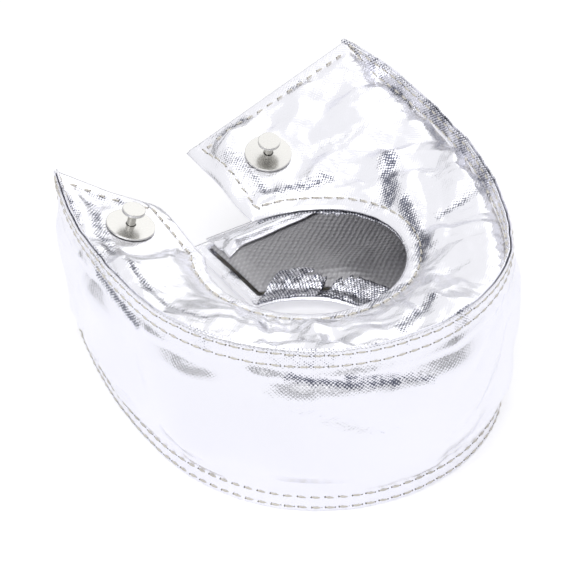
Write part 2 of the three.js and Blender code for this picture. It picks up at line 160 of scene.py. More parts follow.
class BlanketAnchors(bpy.types.PropertyGroup):
    """Lacing anchors: a headed pin through an outer washer and an inner plate."""

    left_x: length("Left anchor X", -54.8, "Place of the left anchor")
    left_y: length("Left anchor Y", 44, "Place of the left anchor")
    left_lean: turn("Left anchor lean", 13, "Lean of the left anchor")
    right_x: length("Right anchor X", 23.4, "Place of the right anchor")
    right_y: length("Right anchor Y", 65.4, "Place of the right anchor")
    right_lean: turn("Right anchor lean", 16, "Lean of the right anchor")
    left_drop: length("Left seat drop", 12, "Left seat below the crest")
    right_drop: length("Right seat drop", 17, "Right seat below the crest")
    washer_radius: length("Washer radius", 10, "Radius of the outer washers")
    washer: length("Washer thickness", 1, "Thickness of washers and plates")
    plate_radius: length("Plate radius", 9, "Radius of the inner plates")
    shank_radius: length("Shank radius", 1.75, "Radius of the pins")
    shank_clearance: length("Shank clearance", 0.25, "Clearance round the pins")
    neck: length("Neck length", 6, "Free length of a pin under its head")
    head_radius: length("Head radius", 4.75, "Radius of the pins' heads")
    head: length("Head thickness", 1.5, "Thickness of the pins' heads")
    rivet_radius: length("Rivet radius", 2.9, "Radius of the pins' inner ends")
    rivet: length("Rivet thickness", 1.1, "Thickness of the pins' inner ends")


class BlanketColours(bpy.types.PropertyGroup):
    """Colours of the cloths, the metal and the studio."""

    cloth: colour("Aluminised cloth", "#f2f2f8", "The metal face of the outer cloth")
    # Painted dark reflection: this blue-grey is mixed into the cloth's colour where it is
    # crushed, and stands for the dark room mirrored in the yarn sides
    cloth_dark_reflection: colour("Crushed cloth", "#454a60", "Yarn sides in crushed places")
    lining: colour("Lining", "#c2c1c4", "Lining cloth")
    lining_light: colour("Lining yarn", "#ebebee", "Yarn crowns of the lining")
    felt: colour("Glass felt", "#d9d3c1", "Needled felt between the cloths")
    thread: colour("Thread", "#f3eee2", "Sewing thread")
    hole: colour("Needle hole", "#7b776f", "Needle holes")
    steel: colour("Stainless steel", "#d2d1ce", "Washers, plates and pins")
    floor: colour("Floor", "#f2f2f6", "Studio floor")


# Small sums

def mix(a, b, share):
    return a + (b - a) * share


def ease(value):
    value = np.clip(value, 0, 1)
    return value * value * (3 - 2 * value)


def noise(seed, cells=64):
    """A smooth noise from -1 to 1 over two coordinates counted in cells."""
    grid = np.random.RandomState(seed).uniform(-1, 1, (cells, cells))

    def at(x, y=0.0):
        x, y = np.broadcast_arrays(np.asarray(x, float), np.asarray(y, float))
        i, j = np.floor(x).astype(int), np.floor(y).astype(int)
        s, t = ease(x - i), ease(y - j)
        a, b = grid[i % cells, j % cells], grid[(i + 1) % cells, j % cells]
        c, d = grid[i % cells, (j + 1) % cells], grid[(i + 1) % cells, (j + 1) % cells]
        return mix(mix(a, b, s), mix(c, d, s), t)
    return at


def ridges(seed, pitch):
    """Irregular puckers along a seam, each a rounded ridge from 0 to 1."""
    drift, size = noise(seed), noise(seed + 1)

    def at(run):
        place = run / pitch + 1.3 * drift(run / (2.3 * pitch))
        wave = 0.5 + 0.5 * np.cos(TAU * place)
        return wave ** 2 * (0.55 + 0.45 * size(run / (1.7 * pitch), 5))
    return at


def crumple(seed, size, slope):
    """Flat facets with sharp creases between them, as a metallised cloth folds."""
    draw = np.random.RandomState(seed)
    layers = [(draw.uniform(0, math.pi), size * draw.uniform(0.7, 1.7),
               draw.uniform(0, 1), noise(seed + 7 + k), noise(seed + 27 + k))
              for k in range(5)]

    def at(x, y):
        total = 0
        for angle, wave, phase, drift, patch in layers:
            along = (x * math.cos(angle) + y * math.sin(angle)) / wave + phase
            along = along + 0.45 * drift(x / size, y / size)
            facet = np.abs((along % 1) - 0.5) * 4 - 1
            shown = ease(1.4 * patch(x / (2.2 * size), y / (2.2 * size)) + 0.35)
            total = total + facet * shown * wave * slope / 4
        return total
    return at


def creases(rows, x, y):
    """Height and crush of listed creases: x, y, x, y, height, width, crush in mm. The crush also
    paints dark reflection into the cloth's colour.
    """
    height, crush_and_dark_reflection = np.zeros(np.shape(x)), np.zeros(np.shape(x))
    for x0, y0, x1, y1, rise, width, strength in rows:
        dx, dy = (x1 - x0) * MM, (y1 - y0) * MM
        long = math.hypot(dx, dy)
        px, py = x - x0 * MM, y - y0 * MM
        along = np.clip((px * dx + py * dy) / long ** 2, 0, 1)
        apart = np.hypot(px - along * dx, py - along * dy) / (width * MM)
        ends = 0.25 + 0.75 * np.sin(math.pi * along) ** 0.6
        height = height + rise * MM * ends * np.exp(-apart)
        crush_and_dark_reflection = np.maximum(crush_and_dark_reflection, strength * np.exp(-(apart / 1.25) ** 2))
    return height, crush_and_dark_reflection


# Creases of the upper panel in plan, and of the band by run and height
UPPER_CREASES = [
    (14, 56, 35, 46, 1.6, 6, 0), (35, 46, 61, 46.5, 1.9, 6, 0),
    (10, 51, 37, 38, -1.1, 3.2, 0.85), (30, 60, 61, 48, -1.0, 4, 0.45),
    (61, 46.5, 60, 24, 1.5, 5, 0.1), (60, 30, 48, 11, -1.7, 4.5, 1.0),
    (61, 21, 70, -17, 1.7, 6, 0.1), (54, -14.6, 70, -17.7, -1.2, 2.4, 0.8),
    (50, 4, 40, -27, -1.2, 3.2, 1.0), (64, 18, 66, -8, -0.4, 3, 0.4),
    (26, -48, 42, -51, -0.8, 2.6, 0.55), (-5, -72, 15, -64, -1.2, 3.4, 0.9),
    (15, -64, 34, -60, 1.1, 5, 0), (32, -43, 53, -37, 0.9, 5, 0),
    (2, -43, 20, -40, 0.2, 2.4, 0.9), (-34, -27, -52, -54, -1.3, 1.9, 0.45),
    (-33.5, -41, -36, -60, -1.2, 1.8, 0.35), (-37, -66, -26, -66, -0.9, 2.6, 0.7),
    (-63.5, 60, -72.5, 27, -1.1, 3.6, 0.85), (-71, 16, -72, -2, -0.9, 2.6, 0.85),
    (-71, -9, -64, -29, -0.9, 2.6, 0.75), (-56, 10, -50, 4, -0.5, 3, 0.35),
    (9, 73, 12, 54, -0.5, 5, 0.75), (46, 62, 58, 40, 0.6, 7, 0),
    (50, -20, 66, -38, -0.7, 3, 0.2), (-66, -20, -45, -30, 0.9, 5, 0),
    (-20, -50, -22, -72, -0.8, 2, 0.2), (8, -48, 2, -76, 0.7, 4, 0.1),
    (30, 80, 62, 62, 0.5, 6, 0.1), (-57, 35, -50, 18, 0.7, 5, 0.1),
]
BAND_CREASES = [
    (62, 68, 96, 66, -0.9, 2.6, 1.0), (163, 66, 204, 59, -0.9, 2.4, 0.95),
    (158, 56, 202, 38, -0.8, 4.5, 0.4), (176, 61, 180, 12, -0.9, 7, 0.1),
    (214, 24, 266, 52, 1.8, 8, 0), (200, 14, 264, 38, -1.4, 7, 0.05),
    (226, 46, 268, 66, -1.2, 7, 0.05), (196, 20, 258, 8, 1.2, 7, 0),
    (64, 20, 82, 18, -0.5, 3, 0.35), (184, 66, 216, 57, -0.8, 2.6, 0.8),
    (120, 60, 150, 66, -0.7, 4, 0.15), (320, 64, 372, 20, 1.2, 9, 0.05),
    (352, 60, 410, 30, -1.2, 8, 0.1), (20, 60, 52, 22, 1.0, 9, 0),
    (280, 12, 330, 44, -1.1, 8, 0.05),
]
LOWER_CREASES = [
    (30, 30, 60, 40, -1.0, 5, 0.3), (-60, 20, -45, -5, -0.9, 4, 0.3),
    (-20, -50, -28, -78, -0.9, 3, 0.4), (20, -48, 30, -72, 0.9, 5, 0.2),
    (45, -10, 70, -20, -0.9, 4, 0.5), (20, 75, 40, 60, 0.8, 6, 0.1),
]
# Stretches of the upper flange that are crushed and carry painted dark reflection: from, to,
# strength
ROW_INSET = 0.9 * MM  # stitch rows stand this far in from a hem's fold
CLEAR_OF_TIP = 0.15 * MM
SEWN_ABOVE = 0.1 * MM
FACING_CLEAR = 1.5 * MM
LEFT_FACING_REACH, RIGHT_FACING_REACH = 9 * MM, 17 * MM
FLANGE_CRUSH_AND_DARK_REFLECTION = [(318, 440, 0.95), (168, 252, 0.55), (0, 30, 0.35), (60, 110, 0.4)]


class Pattern:
    """The blanket's cut, worked out from the sizes. All its sums are in metres,
    from the centre of the round opening, and take arrays."""

    def __init__(self, scene):
        self.p, self.h = scene.blanket_plan, scene.blanket_heights
        self.l, self.a = scene.blanket_layers, scene.blanket_anchors
        p = self.p
        self.body_run = p.body_radius * (p.body_end - p.body_start)
        self.right_start = p.left_leg_length + self.body_run
        self.total = self.right_start + p.right_leg_length
        (lx, ly), _ = self.band_line(0.0)
        (rx, ry), _ = self.band_line(self.total)
        self.left_tip, self.right_tip = (lx, ly), (rx, ry)
        self.left_slope = (ly - p.left_corner_y) / (-p.mouth_left - lx)
        self.right_slope = (ry - p.right_corner_y) / (rx + p.mouth_right)
        self.facing = p.body_end + math.radians(8)
        join_y = math.sqrt(p.opening_radius ** 2 - p.mouth_left ** 2)
        self.left_join = self.level_with(join_y, 0, p.left_leg_length)
        self.right_join = self.level_with(
            p.opening_radius + self.l.hem, self.right_start, self.total)
        self.left_hem_run = self.hem_on_band(0.0, -self.left_slope)
        self.right_hem_run = self.hem_on_band(self.total, self.right_slope)
        self.left_hem_inside = self.l.hem * math.hypot(1, self.left_slope)
        self.right_hem_inside = self.l.hem * math.hypot(1, self.right_slope)
        self.sway_noise, self.ripple_noise = noise(11), noise(12)
        self.seats = {
            "upper": {
                "left": self.seat(self.a.left_x, self.a.left_y,
                                  self.h.height - self.a.left_drop, self.a.left_lean),
                "right": self.seat(self.a.right_x, self.a.right_y,
                                   self.h.height - self.a.right_drop, self.a.right_lean),
            },
            "lower": {},
        }
        # The frame's origin is under the middle of the blanket
        x, y, _, axis = self.seats["upper"]["left"]
        middle = np.array(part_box("top_left_anchor_washer"))[:, :2].mean(axis=0)
        stands = self.l.gap + self.a.washer / 2
        self.shift = middle - np.array([x + axis.x * stands, y + axis.y * stands])

    @staticmethod
    def seat(x, y, z, tilt):
        away = math.hypot(x, y)
        lean = math.sin(tilt)
        return (x, y, z, Vector((-x / away * lean, -y / away * lean, math.cos(tilt))))

    def band_line(self, run):
        p = self.p
        run = np.asarray(run, float)
        left, right = run < p.left_leg_length, run >= self.right_start
        start = np.where(right, p.body_end, p.body_start)
        radius = np.select([left, right], [p.left_leg_radius, p.right_leg_radius],
                           p.body_radius)
        angle = np.where(right, p.body_end + (run - self.right_start) / radius,
                         p.body_start + (run - p.left_leg_length) / radius)
        x = p.body_x + (p.body_radius - radius) * np.cos(start) + radius * np.cos(angle)
        y = p.body_y + (p.body_radius - radius) * np.sin(start) + radius * np.sin(angle)
        return (x, y), (np.cos(angle), np.sin(angle))

    def level_with(self, y, low, high):
        rising = self.band_line(high)[0][1] > self.band_line(low)[0][1]
        for _ in range(40):
            middle = (low + high) / 2
            if (self.band_line(middle)[0][1] < y) == rising:
                low = middle
            else:
                high = middle
        return (low + high) / 2

    def hem_on_band(self, run, slope):
        _, (ox, oy) = self.band_line(run)
        size = math.hypot(1, slope)
        return self.l.hem / abs(-oy * slope / size - ox / size)

    def lean(self, run, z):
        fade = 1 - ease((run - self.p.left_leg_length) / (self.body_run / 2))
        return self.p.left_flare * fade * (1 - z / self.h.height)

    def crest(self, run):
        rise = ease(1 - (self.total - run) / self.h.tip_rise_run)
        return self.h.height + self.h.tip_rise * rise

    def flange(self, run):
        near = np.minimum(run, self.total - run) / self.h.flange_end_run
        return mix(self.h.flange_end, self.h.flange, ease(near))

    def sway(self, run, z):
        """How far the standing flanges wave out of line."""
        tall = self.flange(run)
        up = np.clip((z - self.crest(run) + tall) / tall, 0, 1)
        down = np.clip((tall - z) / tall, 0, 1)
        wave = self.sway_noise(run / 0.021) + 0.5 * self.sway_noise(run / 0.009, 9)
        small = self.sway_noise(run / 0.0035, 21)
        fade = ease(np.minimum(run, self.total - run) / 0.03)
        return fade * (0.75 * MM * wave + 0.16 * MM * small) * (up ** 1.5 - 0.6 * down ** 1.5)

    def band_point(self, run, z, inward):
        (x, y), (ox, oy) = self.band_line(run)
        out = self.sway(run, z) - self.lean(run, z) - inward
        return x + ox * out, y + oy * out

    def from_ends(self, run):
        return np.minimum(run - self.left_hem_run, self.total - self.right_hem_run - run)

    def swell(self, distance):
        return np.sin(math.pi / 2 * np.clip(distance / self.l.swell_run, 0, 1))

    def leg_y(self, from_end, hem_run, leg_run, end_y, inside, join_y):
        hem = end_y - inside * from_end / hem_run
        rest = mix(end_y - inside, join_y, (from_end - hem_run) / (leg_run - hem_run))
        return np.where(from_end < hem_run, hem, rest)

    def inner_edge(self, run, inset):
        """The panel's inner edge facing a place on the band, set back by an inset."""
        p = self.p
        run, inset = np.broadcast_arrays(np.asarray(run, float), np.asarray(inset, float))
        radius = p.opening_radius + inset
        left, right = -(p.mouth_left + inset), inset - p.mouth_right
        left_angle = np.arccos(left / radius)
        right_angle = TAU + np.arccos(right / radius)
        front = mix(left_angle, self.facing, (run - self.left_join)
                    / (self.right_start - self.left_join))
        side = mix(self.facing, right_angle, (run - self.right_start)
                   / (self.right_join - self.right_start))
        turned = np.where(run < self.right_start, front, side)
        left_y = self.leg_y(run, self.left_hem_run, self.left_join,
                            p.left_corner_y + inset * self.left_slope,
                            self.left_hem_inside, radius * np.sin(left_angle))
        right_y = self.leg_y(self.total - run, self.right_hem_run,
                             self.total - self.right_join,
                             p.right_corner_y + inset * self.right_slope,
                             self.right_hem_inside, radius * np.sin(right_angle))
        on_left, on_right = run < self.left_join, run >= self.right_join
        x = np.select([on_left, on_right], [left, right], radius * np.cos(turned))
        y = np.select([on_left, on_right], [left_y, right_y], radius * np.sin(turned))
        return x, y

    def from_hem_line(self, x, y):
        p = self.p
        round_off = np.hypot(x, y) - p.opening_radius
        middle = -(p.mouth_left + p.mouth_right) / 2
        beside = np.where(x < middle, -p.mouth_left - x, x + p.mouth_right)
        return np.where(y > 0, np.minimum(round_off, beside), round_off) - self.l.hem

    def from_end_lines(self, x, y):
        (lx, ly), (rx, ry) = self.left_tip, self.right_tip
        left = (ly - self.left_slope * (x - lx) - y) / math.hypot(1, self.left_slope)
        right = (ry + self.right_slope * (x - rx) - y) / math.hypot(1, self.right_slope)
        return np.minimum(np.where(x < 0, left, 1.0), right) - self.l.hem

    def edge_height(self, side, run):
        h = self.h
        if side == "lower":
            return np.full(np.shape(run), h.lower_edge)
        left = mix(h.left_corner_drop, h.opening_drop, ease(run / self.left_join))
        turned = ease((run - self.right_start) / (self.right_join - self.right_start))
        bend = mix(h.opening_drop, h.inner_corner_drop, turned)
        along = ease((run - self.right_join) / (self.total - self.right_join))
        leg = mix(h.inner_corner_drop, h.right_corner_drop, along)
        drop = np.select(
            [run < self.left_join, run < self.right_start, run < self.right_join],
            [left, np.full(np.shape(run), h.opening_drop), bend], leg)
        return h.height - drop

    def foot_height(self, side, run):
        if side == "lower":
            return self.flange(run)
        return self.crest(run) - self.flange(run)

    def panel(self, side, run, part, inset, detail=True):
        """A place on a panel's outer face, its swell, reach and crush; the crush also sets the
        painted dark reflection.
        """
        inward = -1 if side == "upper" else 1
        l = self.l
        foot_z = self.foot_height(side, run)
        fx, fy = self.band_point(run, foot_z, 2 * l.skin + l.gap)
        ex, ey = self.inner_edge(run, inset)
        zx, zy = self.inner_edge(run, 0.0)
        x, y = mix(fx, ex, part), mix(fy, ey, part)
        long, reach = np.hypot(zx - fx, zy - fy), np.hypot(x - fx, y - fy)
        hem_apart, end_apart = self.from_hem_line(x, y), self.from_end_lines(x, y)
        full = self.swell(reach) * self.swell(hem_apart) * self.swell(end_apart)
        wave = l.gather_depth * np.sin(TAU * run / l.gather_pitch)
        z = mix(foot_z, self.edge_height(side, run), reach / long)
        z = z - inward * full * (l.panel_bulge + wave)
        relief, crush_and_dark_reflection = self.relief(side, x, y, run, reach, hem_apart, end_apart)
        free = 1.0
        for sx, sy, sz, axis in self.seats[side].values():
            apart = np.hypot(x - sx, y - sy)
            away = ease((apart - self.a.washer_radius - 5 * MM) / (13 * MM))
            hold = (1 - away) * ease(reach / l.swell_run)
            flat = sz - ((x - sx) * axis.x + (y - sy) * axis.y) / axis.z
            z = mix(z, flat, hold)
            free = free * ease((apart - self.a.washer_radius) / (9 * MM))
        relief = relief * free if detail else 0 * relief
        return x, y, z, full, reach, relief, crush_and_dark_reflection

    def relief(self, side, x, y, run, reach, hem_apart, end_apart):
        """Puckers at the seams, facets between them and the listed creases."""
        seed = {"upper": 40, "lower": 140}[side]
        rows = {"upper": UPPER_CREASES, "lower": LOWER_CREASES}[side]
        inside = ease(hem_apart / (5 * MM) + 0.15) * ease(end_apart / (5 * MM) + 0.15)
        at_foot = ridges(seed, 8.5 * MM)(run) * np.exp(-reach / (9 * MM))
        at_foot = at_foot * ease(reach / (2.5 * MM))
        at_hem = ridges(seed + 3, 9.5 * MM)(run) * np.exp(-np.abs(hem_apart) / (8 * MM))
        across = (x - y) * 0.7
        at_end = ridges(seed + 6, 8 * MM)(across) * np.exp(-np.abs(end_apart) / (7 * MM))
        facets = crumple(seed + 9, 21 * MM, 0.17)(x, y)
        fine = crumple(seed + 19, 7 * MM, 0.075)(x, y)
        listed, crush_and_dark_reflection = creases(rows, x, y)
        relief = inside * (0.85 * MM * at_foot + 0.6 * MM * at_hem + 0.5 * MM * at_end
                           + facets + fine + listed)
        on_hem = 1 - ease(hem_apart / (2 * MM) + 1)
        relief = relief + on_hem * 0.22 * MM * noise(seed + 30)(run / 0.006, hem_apart / 0.004)
        # Painted dark reflection: the crush, and with it the blue-grey specks in the cloth's
        # colour, is raised in patches beside the hems, the ends and the flange's foot, and where
        # the fine facets rise or sink
        patch = ease(1.1 * noise(seed + 33)(x / 0.013, y / 0.013) + 0.1)
        near = np.exp(-np.minimum(np.abs(hem_apart + 1 * MM), np.abs(end_apart + 1 * MM))
                      / (4.5 * MM))
        near = np.maximum(near, np.exp(-reach / (3.5 * MM)))
        rough = 0.1 + 1.0 * near * patch + 0.25 * np.clip(np.abs(fine) / (0.3 * MM), 0, 1) * patch
        return relief, np.clip(np.maximum(crush_and_dark_reflection, rough), 0, 1)

    def flange_crush_and_dark_reflection(self, run, low=False):
        # Painted dark reflection: the flanges get a crush that paints blue-grey specks into the
        # cloth's colour, strongest over the listed stretches of the upper flange
        strength = 0.28 + 0.5 * ease(self.ripple_noise(run / 0.013, 4))
        if low:
            return strength
        for start, end, much in FLANGE_CRUSH_AND_DARK_REFLECTION:
            inside = ease((run - start * MM) / 0.01) * ease((end * MM - run) / 0.01)
            strength = np.maximum(strength, much * inside
                                  * (0.75 + 0.25 * self.ripple_noise(run / 0.007, 8)))
        return strength

    def band(self, run, z):
        """How far the band's outer face swells out, its fullness and its crush, which also sets
        the painted dark reflection.
        """
        l = self.l
        low = self.flange(run) + l.corner_clear
        high = self.crest(run) - self.flange(run) - l.corner_clear
        ends = self.swell(self.from_ends(run))
        full = self.swell(z - low) * self.swell(high - z) * ends
        wave = l.gather_depth * np.sin(TAU * run / l.gather_pitch + 1)
        top, foot = self.crest(run) - self.flange(run), self.flange(run)
        inside = ease((z - foot) / (4 * MM)) * ease((top - z) / (4 * MM))
        puff = np.exp(-((top - z - 5 * MM) / (3.4 * MM)) ** 2)
        puff = puff + 0.8 * np.exp(-((z - foot - 5 * MM) / (3.4 * MM)) ** 2)
        at_top = ridges(61, 9 * MM)(run) * np.exp(-np.abs(top - z) / (10 * MM))
        at_foot = ridges(67, 10 * MM)(run) * np.exp(-np.abs(z - foot) / (9 * MM))
        listed, crush_and_dark_reflection = creases(BAND_CREASES, run, z)
        facets = crumple(71, 34 * MM, 0.055)(run, z)
        relief = inside * ends * (0.7 * MM * at_top + 0.6 * MM * at_foot + listed + facets)
        relief = relief + ends * inside * 0.9 * MM * puff
        # Painted dark reflection: the crush, and with it the blue-grey specks in the cloth's
        # colour, is raised in patches just under the upper flange
        near = np.exp(-np.abs(top - z - 1 * MM) / (2.6 * MM))
        patch = ease(0.9 * noise(81)(run / 0.016, z / 0.012) + 0.05)
        rough = 0.06 + 0.85 * near * patch
        return full * (l.band_bulge + wave), relief, full, np.maximum(crush_and_dark_reflection, rough)


# Meshes

def closed_shell(name, face, back, charts, chart_from, crush_and_dark_reflection, material):
    """A closed piece between two grids of points, stations by columns."""
    rows, columns = face.shape[:2]
    points = np.concatenate([face.reshape(-1, 3), back.reshape(-1, 3)])
    front = np.arange(rows * columns).reshape(rows, columns)
    rear = front + rows * columns

    def quads(a, b, c, d):
        return np.stack([a.ravel(), b.ravel(), c.ravel(), d.ravel()], axis=1)
    sheet = (slice(None, -1), slice(None, -1)), (slice(None, -1), slice(1, None)), \
        (slice(1, None), slice(1, None)), (slice(1, None), slice(None, -1))
    faces = np.concatenate([
        quads(*(front[s] for s in sheet)),
        quads(*(rear[s] for s in reversed(sheet))),
        quads(front[:-1, 0], front[1:, 0], rear[1:, 0], rear[:-1, 0]),
        quads(front[1:, -1], front[:-1, -1], rear[:-1, -1], rear[1:, -1]),
        quads(front[0, 1:], front[0, :-1], rear[0, :-1], rear[0, 1:]),
        quads(front[-1, :-1], front[-1, 1:], rear[-1, 1:], rear[-1, :-1]),
    ])
    a, b, c, d = (points[faces[:, k]] for k in range(4))
    if np.einsum("ij,ij->i", a, np.cross(b - a, c - a) + np.cross(c - a, d - a)).sum() < 0:
        faces = faces[:, ::-1]
    mesh = bpy.data.meshes.new(name)
    mesh.from_pydata(points.tolist(), [], faces.tolist())
    # The weave follows the chart of the strip that a face lies in
    column = (faces % (rows * columns)) % columns
    strip = column.min(axis=1) >= chart_from
    places = [np.concatenate([chart.reshape(-1, 2)] * 2)[faces] for chart in charts]
    uv = np.where(strip[:, None, None], places[1], places[0])
    layer = mesh.uv_layers.new(name="weave")
    layer.data.foreach_set("uv", uv.astype(np.float32).ravel())
    # The crush attribute sets the cloth's yarn and crinkle bumps and paints dark reflection into
    # its colour
    held = mesh.attributes.new("crush_and_dark_reflection", "FLOAT", "POINT")
    held.data.foreach_set("value", np.concatenate([crush_and_dark_reflection.ravel()] * 2).astype(np.float32))
    mesh.polygons.foreach_set("use_smooth", [True] * len(mesh.polygons))
    mesh.materials.append(material)
    mesh.update()
    return show(name, mesh)


def show(name, mesh):
    piece = bpy.data.objects.new(name, mesh)
    bpy.context.scene.collection.objects.link(piece)
    return piece


def placed(pattern, x, y, z):
    x, y, z = np.broadcast_arrays(x, y, z)
    return np.stack([x + pattern.shift[0], y + pattern.shift[1], z], axis=-1)


def stations(pattern, margin=0.0, pitch=1.25 * MM):
    """Runs at which a piece has a section, closer at its two ends."""
    low = 0.0 if margin == 0 else pattern.left_hem_run + margin
    high = pattern.total - (0.0 if margin == 0 else pattern.right_hem_run + margin)
    steps = int(round((high - low) / pitch))
    runs = np.linspace(low, high, steps + 1)
    extra = [0.3 * MM, 0.7 * MM]
    fine = [low + e for e in extra] + [high - e for e in extra]
    if margin == 0:
        for hem in (pattern.left_hem_run, pattern.total - pattern.right_hem_run):
            fine += [hem - 0.15 * MM, hem + 0.15 * MM]
    return np.unique(np.concatenate([runs, fine]))[:, None]


def rounding(values, low, high, reach=0.7 * MM):
    """How much of its thickness a sheet loses on each face towards its rims."""
    apart = np.minimum(values - low, high - values)
    return 0.42 * np.sqrt(np.clip(1 - apart / reach, 0, 1))


def make_panel_skin(pattern, side, material):
    l = pattern.l
    inward = -1 if side == "upper" else 1
    run = stations(pattern)
    foot = pattern.foot_height(side, run)
    tip = (pattern.crest(run) - CLEAR_OF_TIP if side == "upper"
           else np.full(run.shape, CLEAR_OF_TIP))
    up = np.array([[1, 0.97, 0.92, 0.8, 0.66, 0.52, 0.38, 0.25, 0.12]])
    flange_z = mix(foot, tip, up)
    lost = np.array([[0.42, 0.2, 0.05, 0, 0, 0, 0, 0, 0]]) * l.skin
    bx, by = pattern.band_point(run, flange_z, l.skin + l.gap + lost)
    dent = row_dents(run, np.abs(flange_z - tip), np.abs(flange_z - foot))
    fx, fy = pattern.band_point(run, flange_z, 2 * l.skin + l.gap - lost - dent)
    part = np.linspace(0, 1, 58)[None, :] ** 1.05
    x, y, z, _, _, relief, crush_and_dark_reflection = pattern.panel(side, run, part, l.hem)
    inset = l.hem - np.array([[0.3, 1.3, 2.4, 3.5, 4.6, 5.5, 6.1, 6.4, 6.5]]) * MM
    hx, hy, hz, _, _, hem_relief, hem_crush_and_dark_reflection = pattern.panel(side, run, 1.0, inset)
    in_hem = pattern.from_ends(run) <= 0
    thick = np.where(in_hem, l.hem_thickness - 0.05 * MM, l.skin) + 0 * part
    hem_thick = np.full(hz.shape, l.hem_thickness)
    loss = rounding(run, 0, pattern.total)
    hem_loss = np.maximum(loss, rounding(inset, 0, 1))
    z = z - inward * relief
    hz = hz - inward * hem_relief
    groove = np.exp(-((l.hem - 0.9 * MM - inset) / (0.8 * MM)) ** 2) * 0.25 * MM
    front_z = np.concatenate(
        [flange_z, z + inward * loss * thick, hz + inward * (hem_loss * hem_thick + groove)], 1)
    rear_z = np.concatenate(
        [flange_z, z + inward * thick * (1 - loss), hz + inward * hem_thick * (1 - hem_loss)], 1)
    # The first column under the flange turns up against the band's cloth
    rx, ry = pattern.band_point(run, foot + inward * thick[:, :1], l.skin + l.gap)
    face = placed(pattern, np.concatenate([fx, x, hx], 1), np.concatenate([fy, y, hy], 1),
                  front_z)
    back = placed(pattern, np.concatenate([bx, rx, x[:, 1:], hx], 1),
                  np.concatenate([by, ry, y[:, 1:], hy], 1), rear_z)
    low = side == "lower"
    flange_crush_and_dark_reflection = pattern.flange_crush_and_dark_reflection(run, low) + 0 * flange_z
    all_crush_and_dark_reflection = np.concatenate([flange_crush_and_dark_reflection, crush_and_dark_reflection, hem_crush_and_dark_reflection], 1)
    along = run + 0 * all_crush_and_dark_reflection
    standing = np.stack([along, front_z], -1)
    lying = face[..., :2]
    piece = closed_shell(f"{side}_skin", face, back, (standing, lying), up.size, all_crush_and_dark_reflection,
                         material)
    return piece, 0.5 * surface_area(piece)


def row_dents(run, from_tip, from_foot):
    """How far the two stitch rows press into a standing flange."""
    s = bpy.context.scene.blanket_seams
    pulled = 0.55 + 0.45 * np.cos(TAU * run / s.pitch)
    rows = (np.exp(-((from_tip - s.crest_row) / (0.9 * MM)) ** 2)
            + np.exp(-((from_foot - s.foot_row) / (0.9 * MM)) ** 2))
    return 0.22 * MM * rows * pulled


def make_band_skin(pattern, material):
    l = pattern.l
    run = stations(pattern)
    crest, flange = pattern.crest(run), pattern.flange(run)
    edge = np.array([[0, 0.04, 0.12, 0.3, 0.5, 0.75]])
    middle = np.linspace(0, 1, 62)[None, :]
    z = np.concatenate([flange * edge, mix(flange, crest - flange, middle),
                        crest - flange * edge[:, ::-1]], 1)
    out, relief, _, crush_and_dark_reflection = pattern.band(run, z)
    thick = np.where(pattern.from_ends(run) <= 0, l.hem_thickness, l.skin + 0.05 * MM) + 0 * z
    on_flange = (z <= flange) | (z >= crest - flange)
    thick = np.where(on_flange, l.skin, thick)
    loss = np.maximum(rounding(run, 0, pattern.total), rounding(z, 0 * crest, crest, 0.6 * MM))
    dent = row_dents(run, np.minimum(z, crest - z),
                     np.minimum(np.abs(z - flange), np.abs(crest - flange - z)))
    dent = np.where(on_flange, dent, 0)
    out = out + relief
    face = placed(pattern, *pattern.band_point(run, z, loss * thick - out + dent), z)
    back = placed(pattern, *pattern.band_point(run, z, (1 - loss) * thick - out), z)
    # Painted dark reflection: the band's cloth at the upper flange takes the flange's crush,
    # which paints blue-grey specks into its colour
    near_top = z >= crest - flange - 1 * MM
    crush_and_dark_reflection = np.where(near_top, np.maximum(crush_and_dark_reflection, 0.8 * pattern.flange_crush_and_dark_reflection(run)), crush_and_dark_reflection)
    chart = np.stack([run + 0 * z, z + 0 * run], -1)
    piece = closed_shell("band_skin", face, back, (chart, chart), 0, crush_and_dark_reflection, material)
    return piece, 0.5 * surface_area(piece)


def surface_area(piece):
    return sum(polygon.area for polygon in piece.data.polygons)


def layer_depths(pattern, kind, full):
    l = pattern.l
    felt_back = l.skin + l.felt_gap + l.felt_edge + l.padding * full
    if kind == "felt":
        return l.skin + l.felt_gap + 0 * full, felt_back
    return felt_back + l.felt_gap, felt_back + l.felt_gap + l.lining


def make_panel_layer(pattern, side, kind, material):
    l = pattern.l
    inward = -1 if side == "upper" else 1
    margin = l.felt_inset if kind == "felt" else l.gap
    run = stations(pattern, margin, 1.5 * MM)
    whole = pattern.panel(side, run, 1.0, l.hem)[4]
    part = mix(margin / whole, 1 - margin / whole, np.linspace(0, 1, 54)[None, :])
    x, y, z, full, reach, relief, crush_and_dark_reflection = pattern.panel(side, run, part, l.hem)
    near, far = layer_depths(pattern, kind, full)
    # The inner cloths lie smoother than the outer one, except beside the seams
    smooth = relief * (0.35 + 0.45 * (1 - full))
    loss = rounding(reach, margin + 0 * whole, whole - margin) * (far - near) * 0.6
    front = z - inward * (relief if kind == "felt" else smooth) + inward * (near + loss)
    rear = z - inward * smooth + inward * (far - loss)
    face, back = placed(pattern, x, y, front), placed(pattern, x, y, rear)
    chart = face[..., :2]
    return closed_shell(f"{side}_{kind}", face, back, (chart, chart), 0, crush_and_dark_reflection, material)


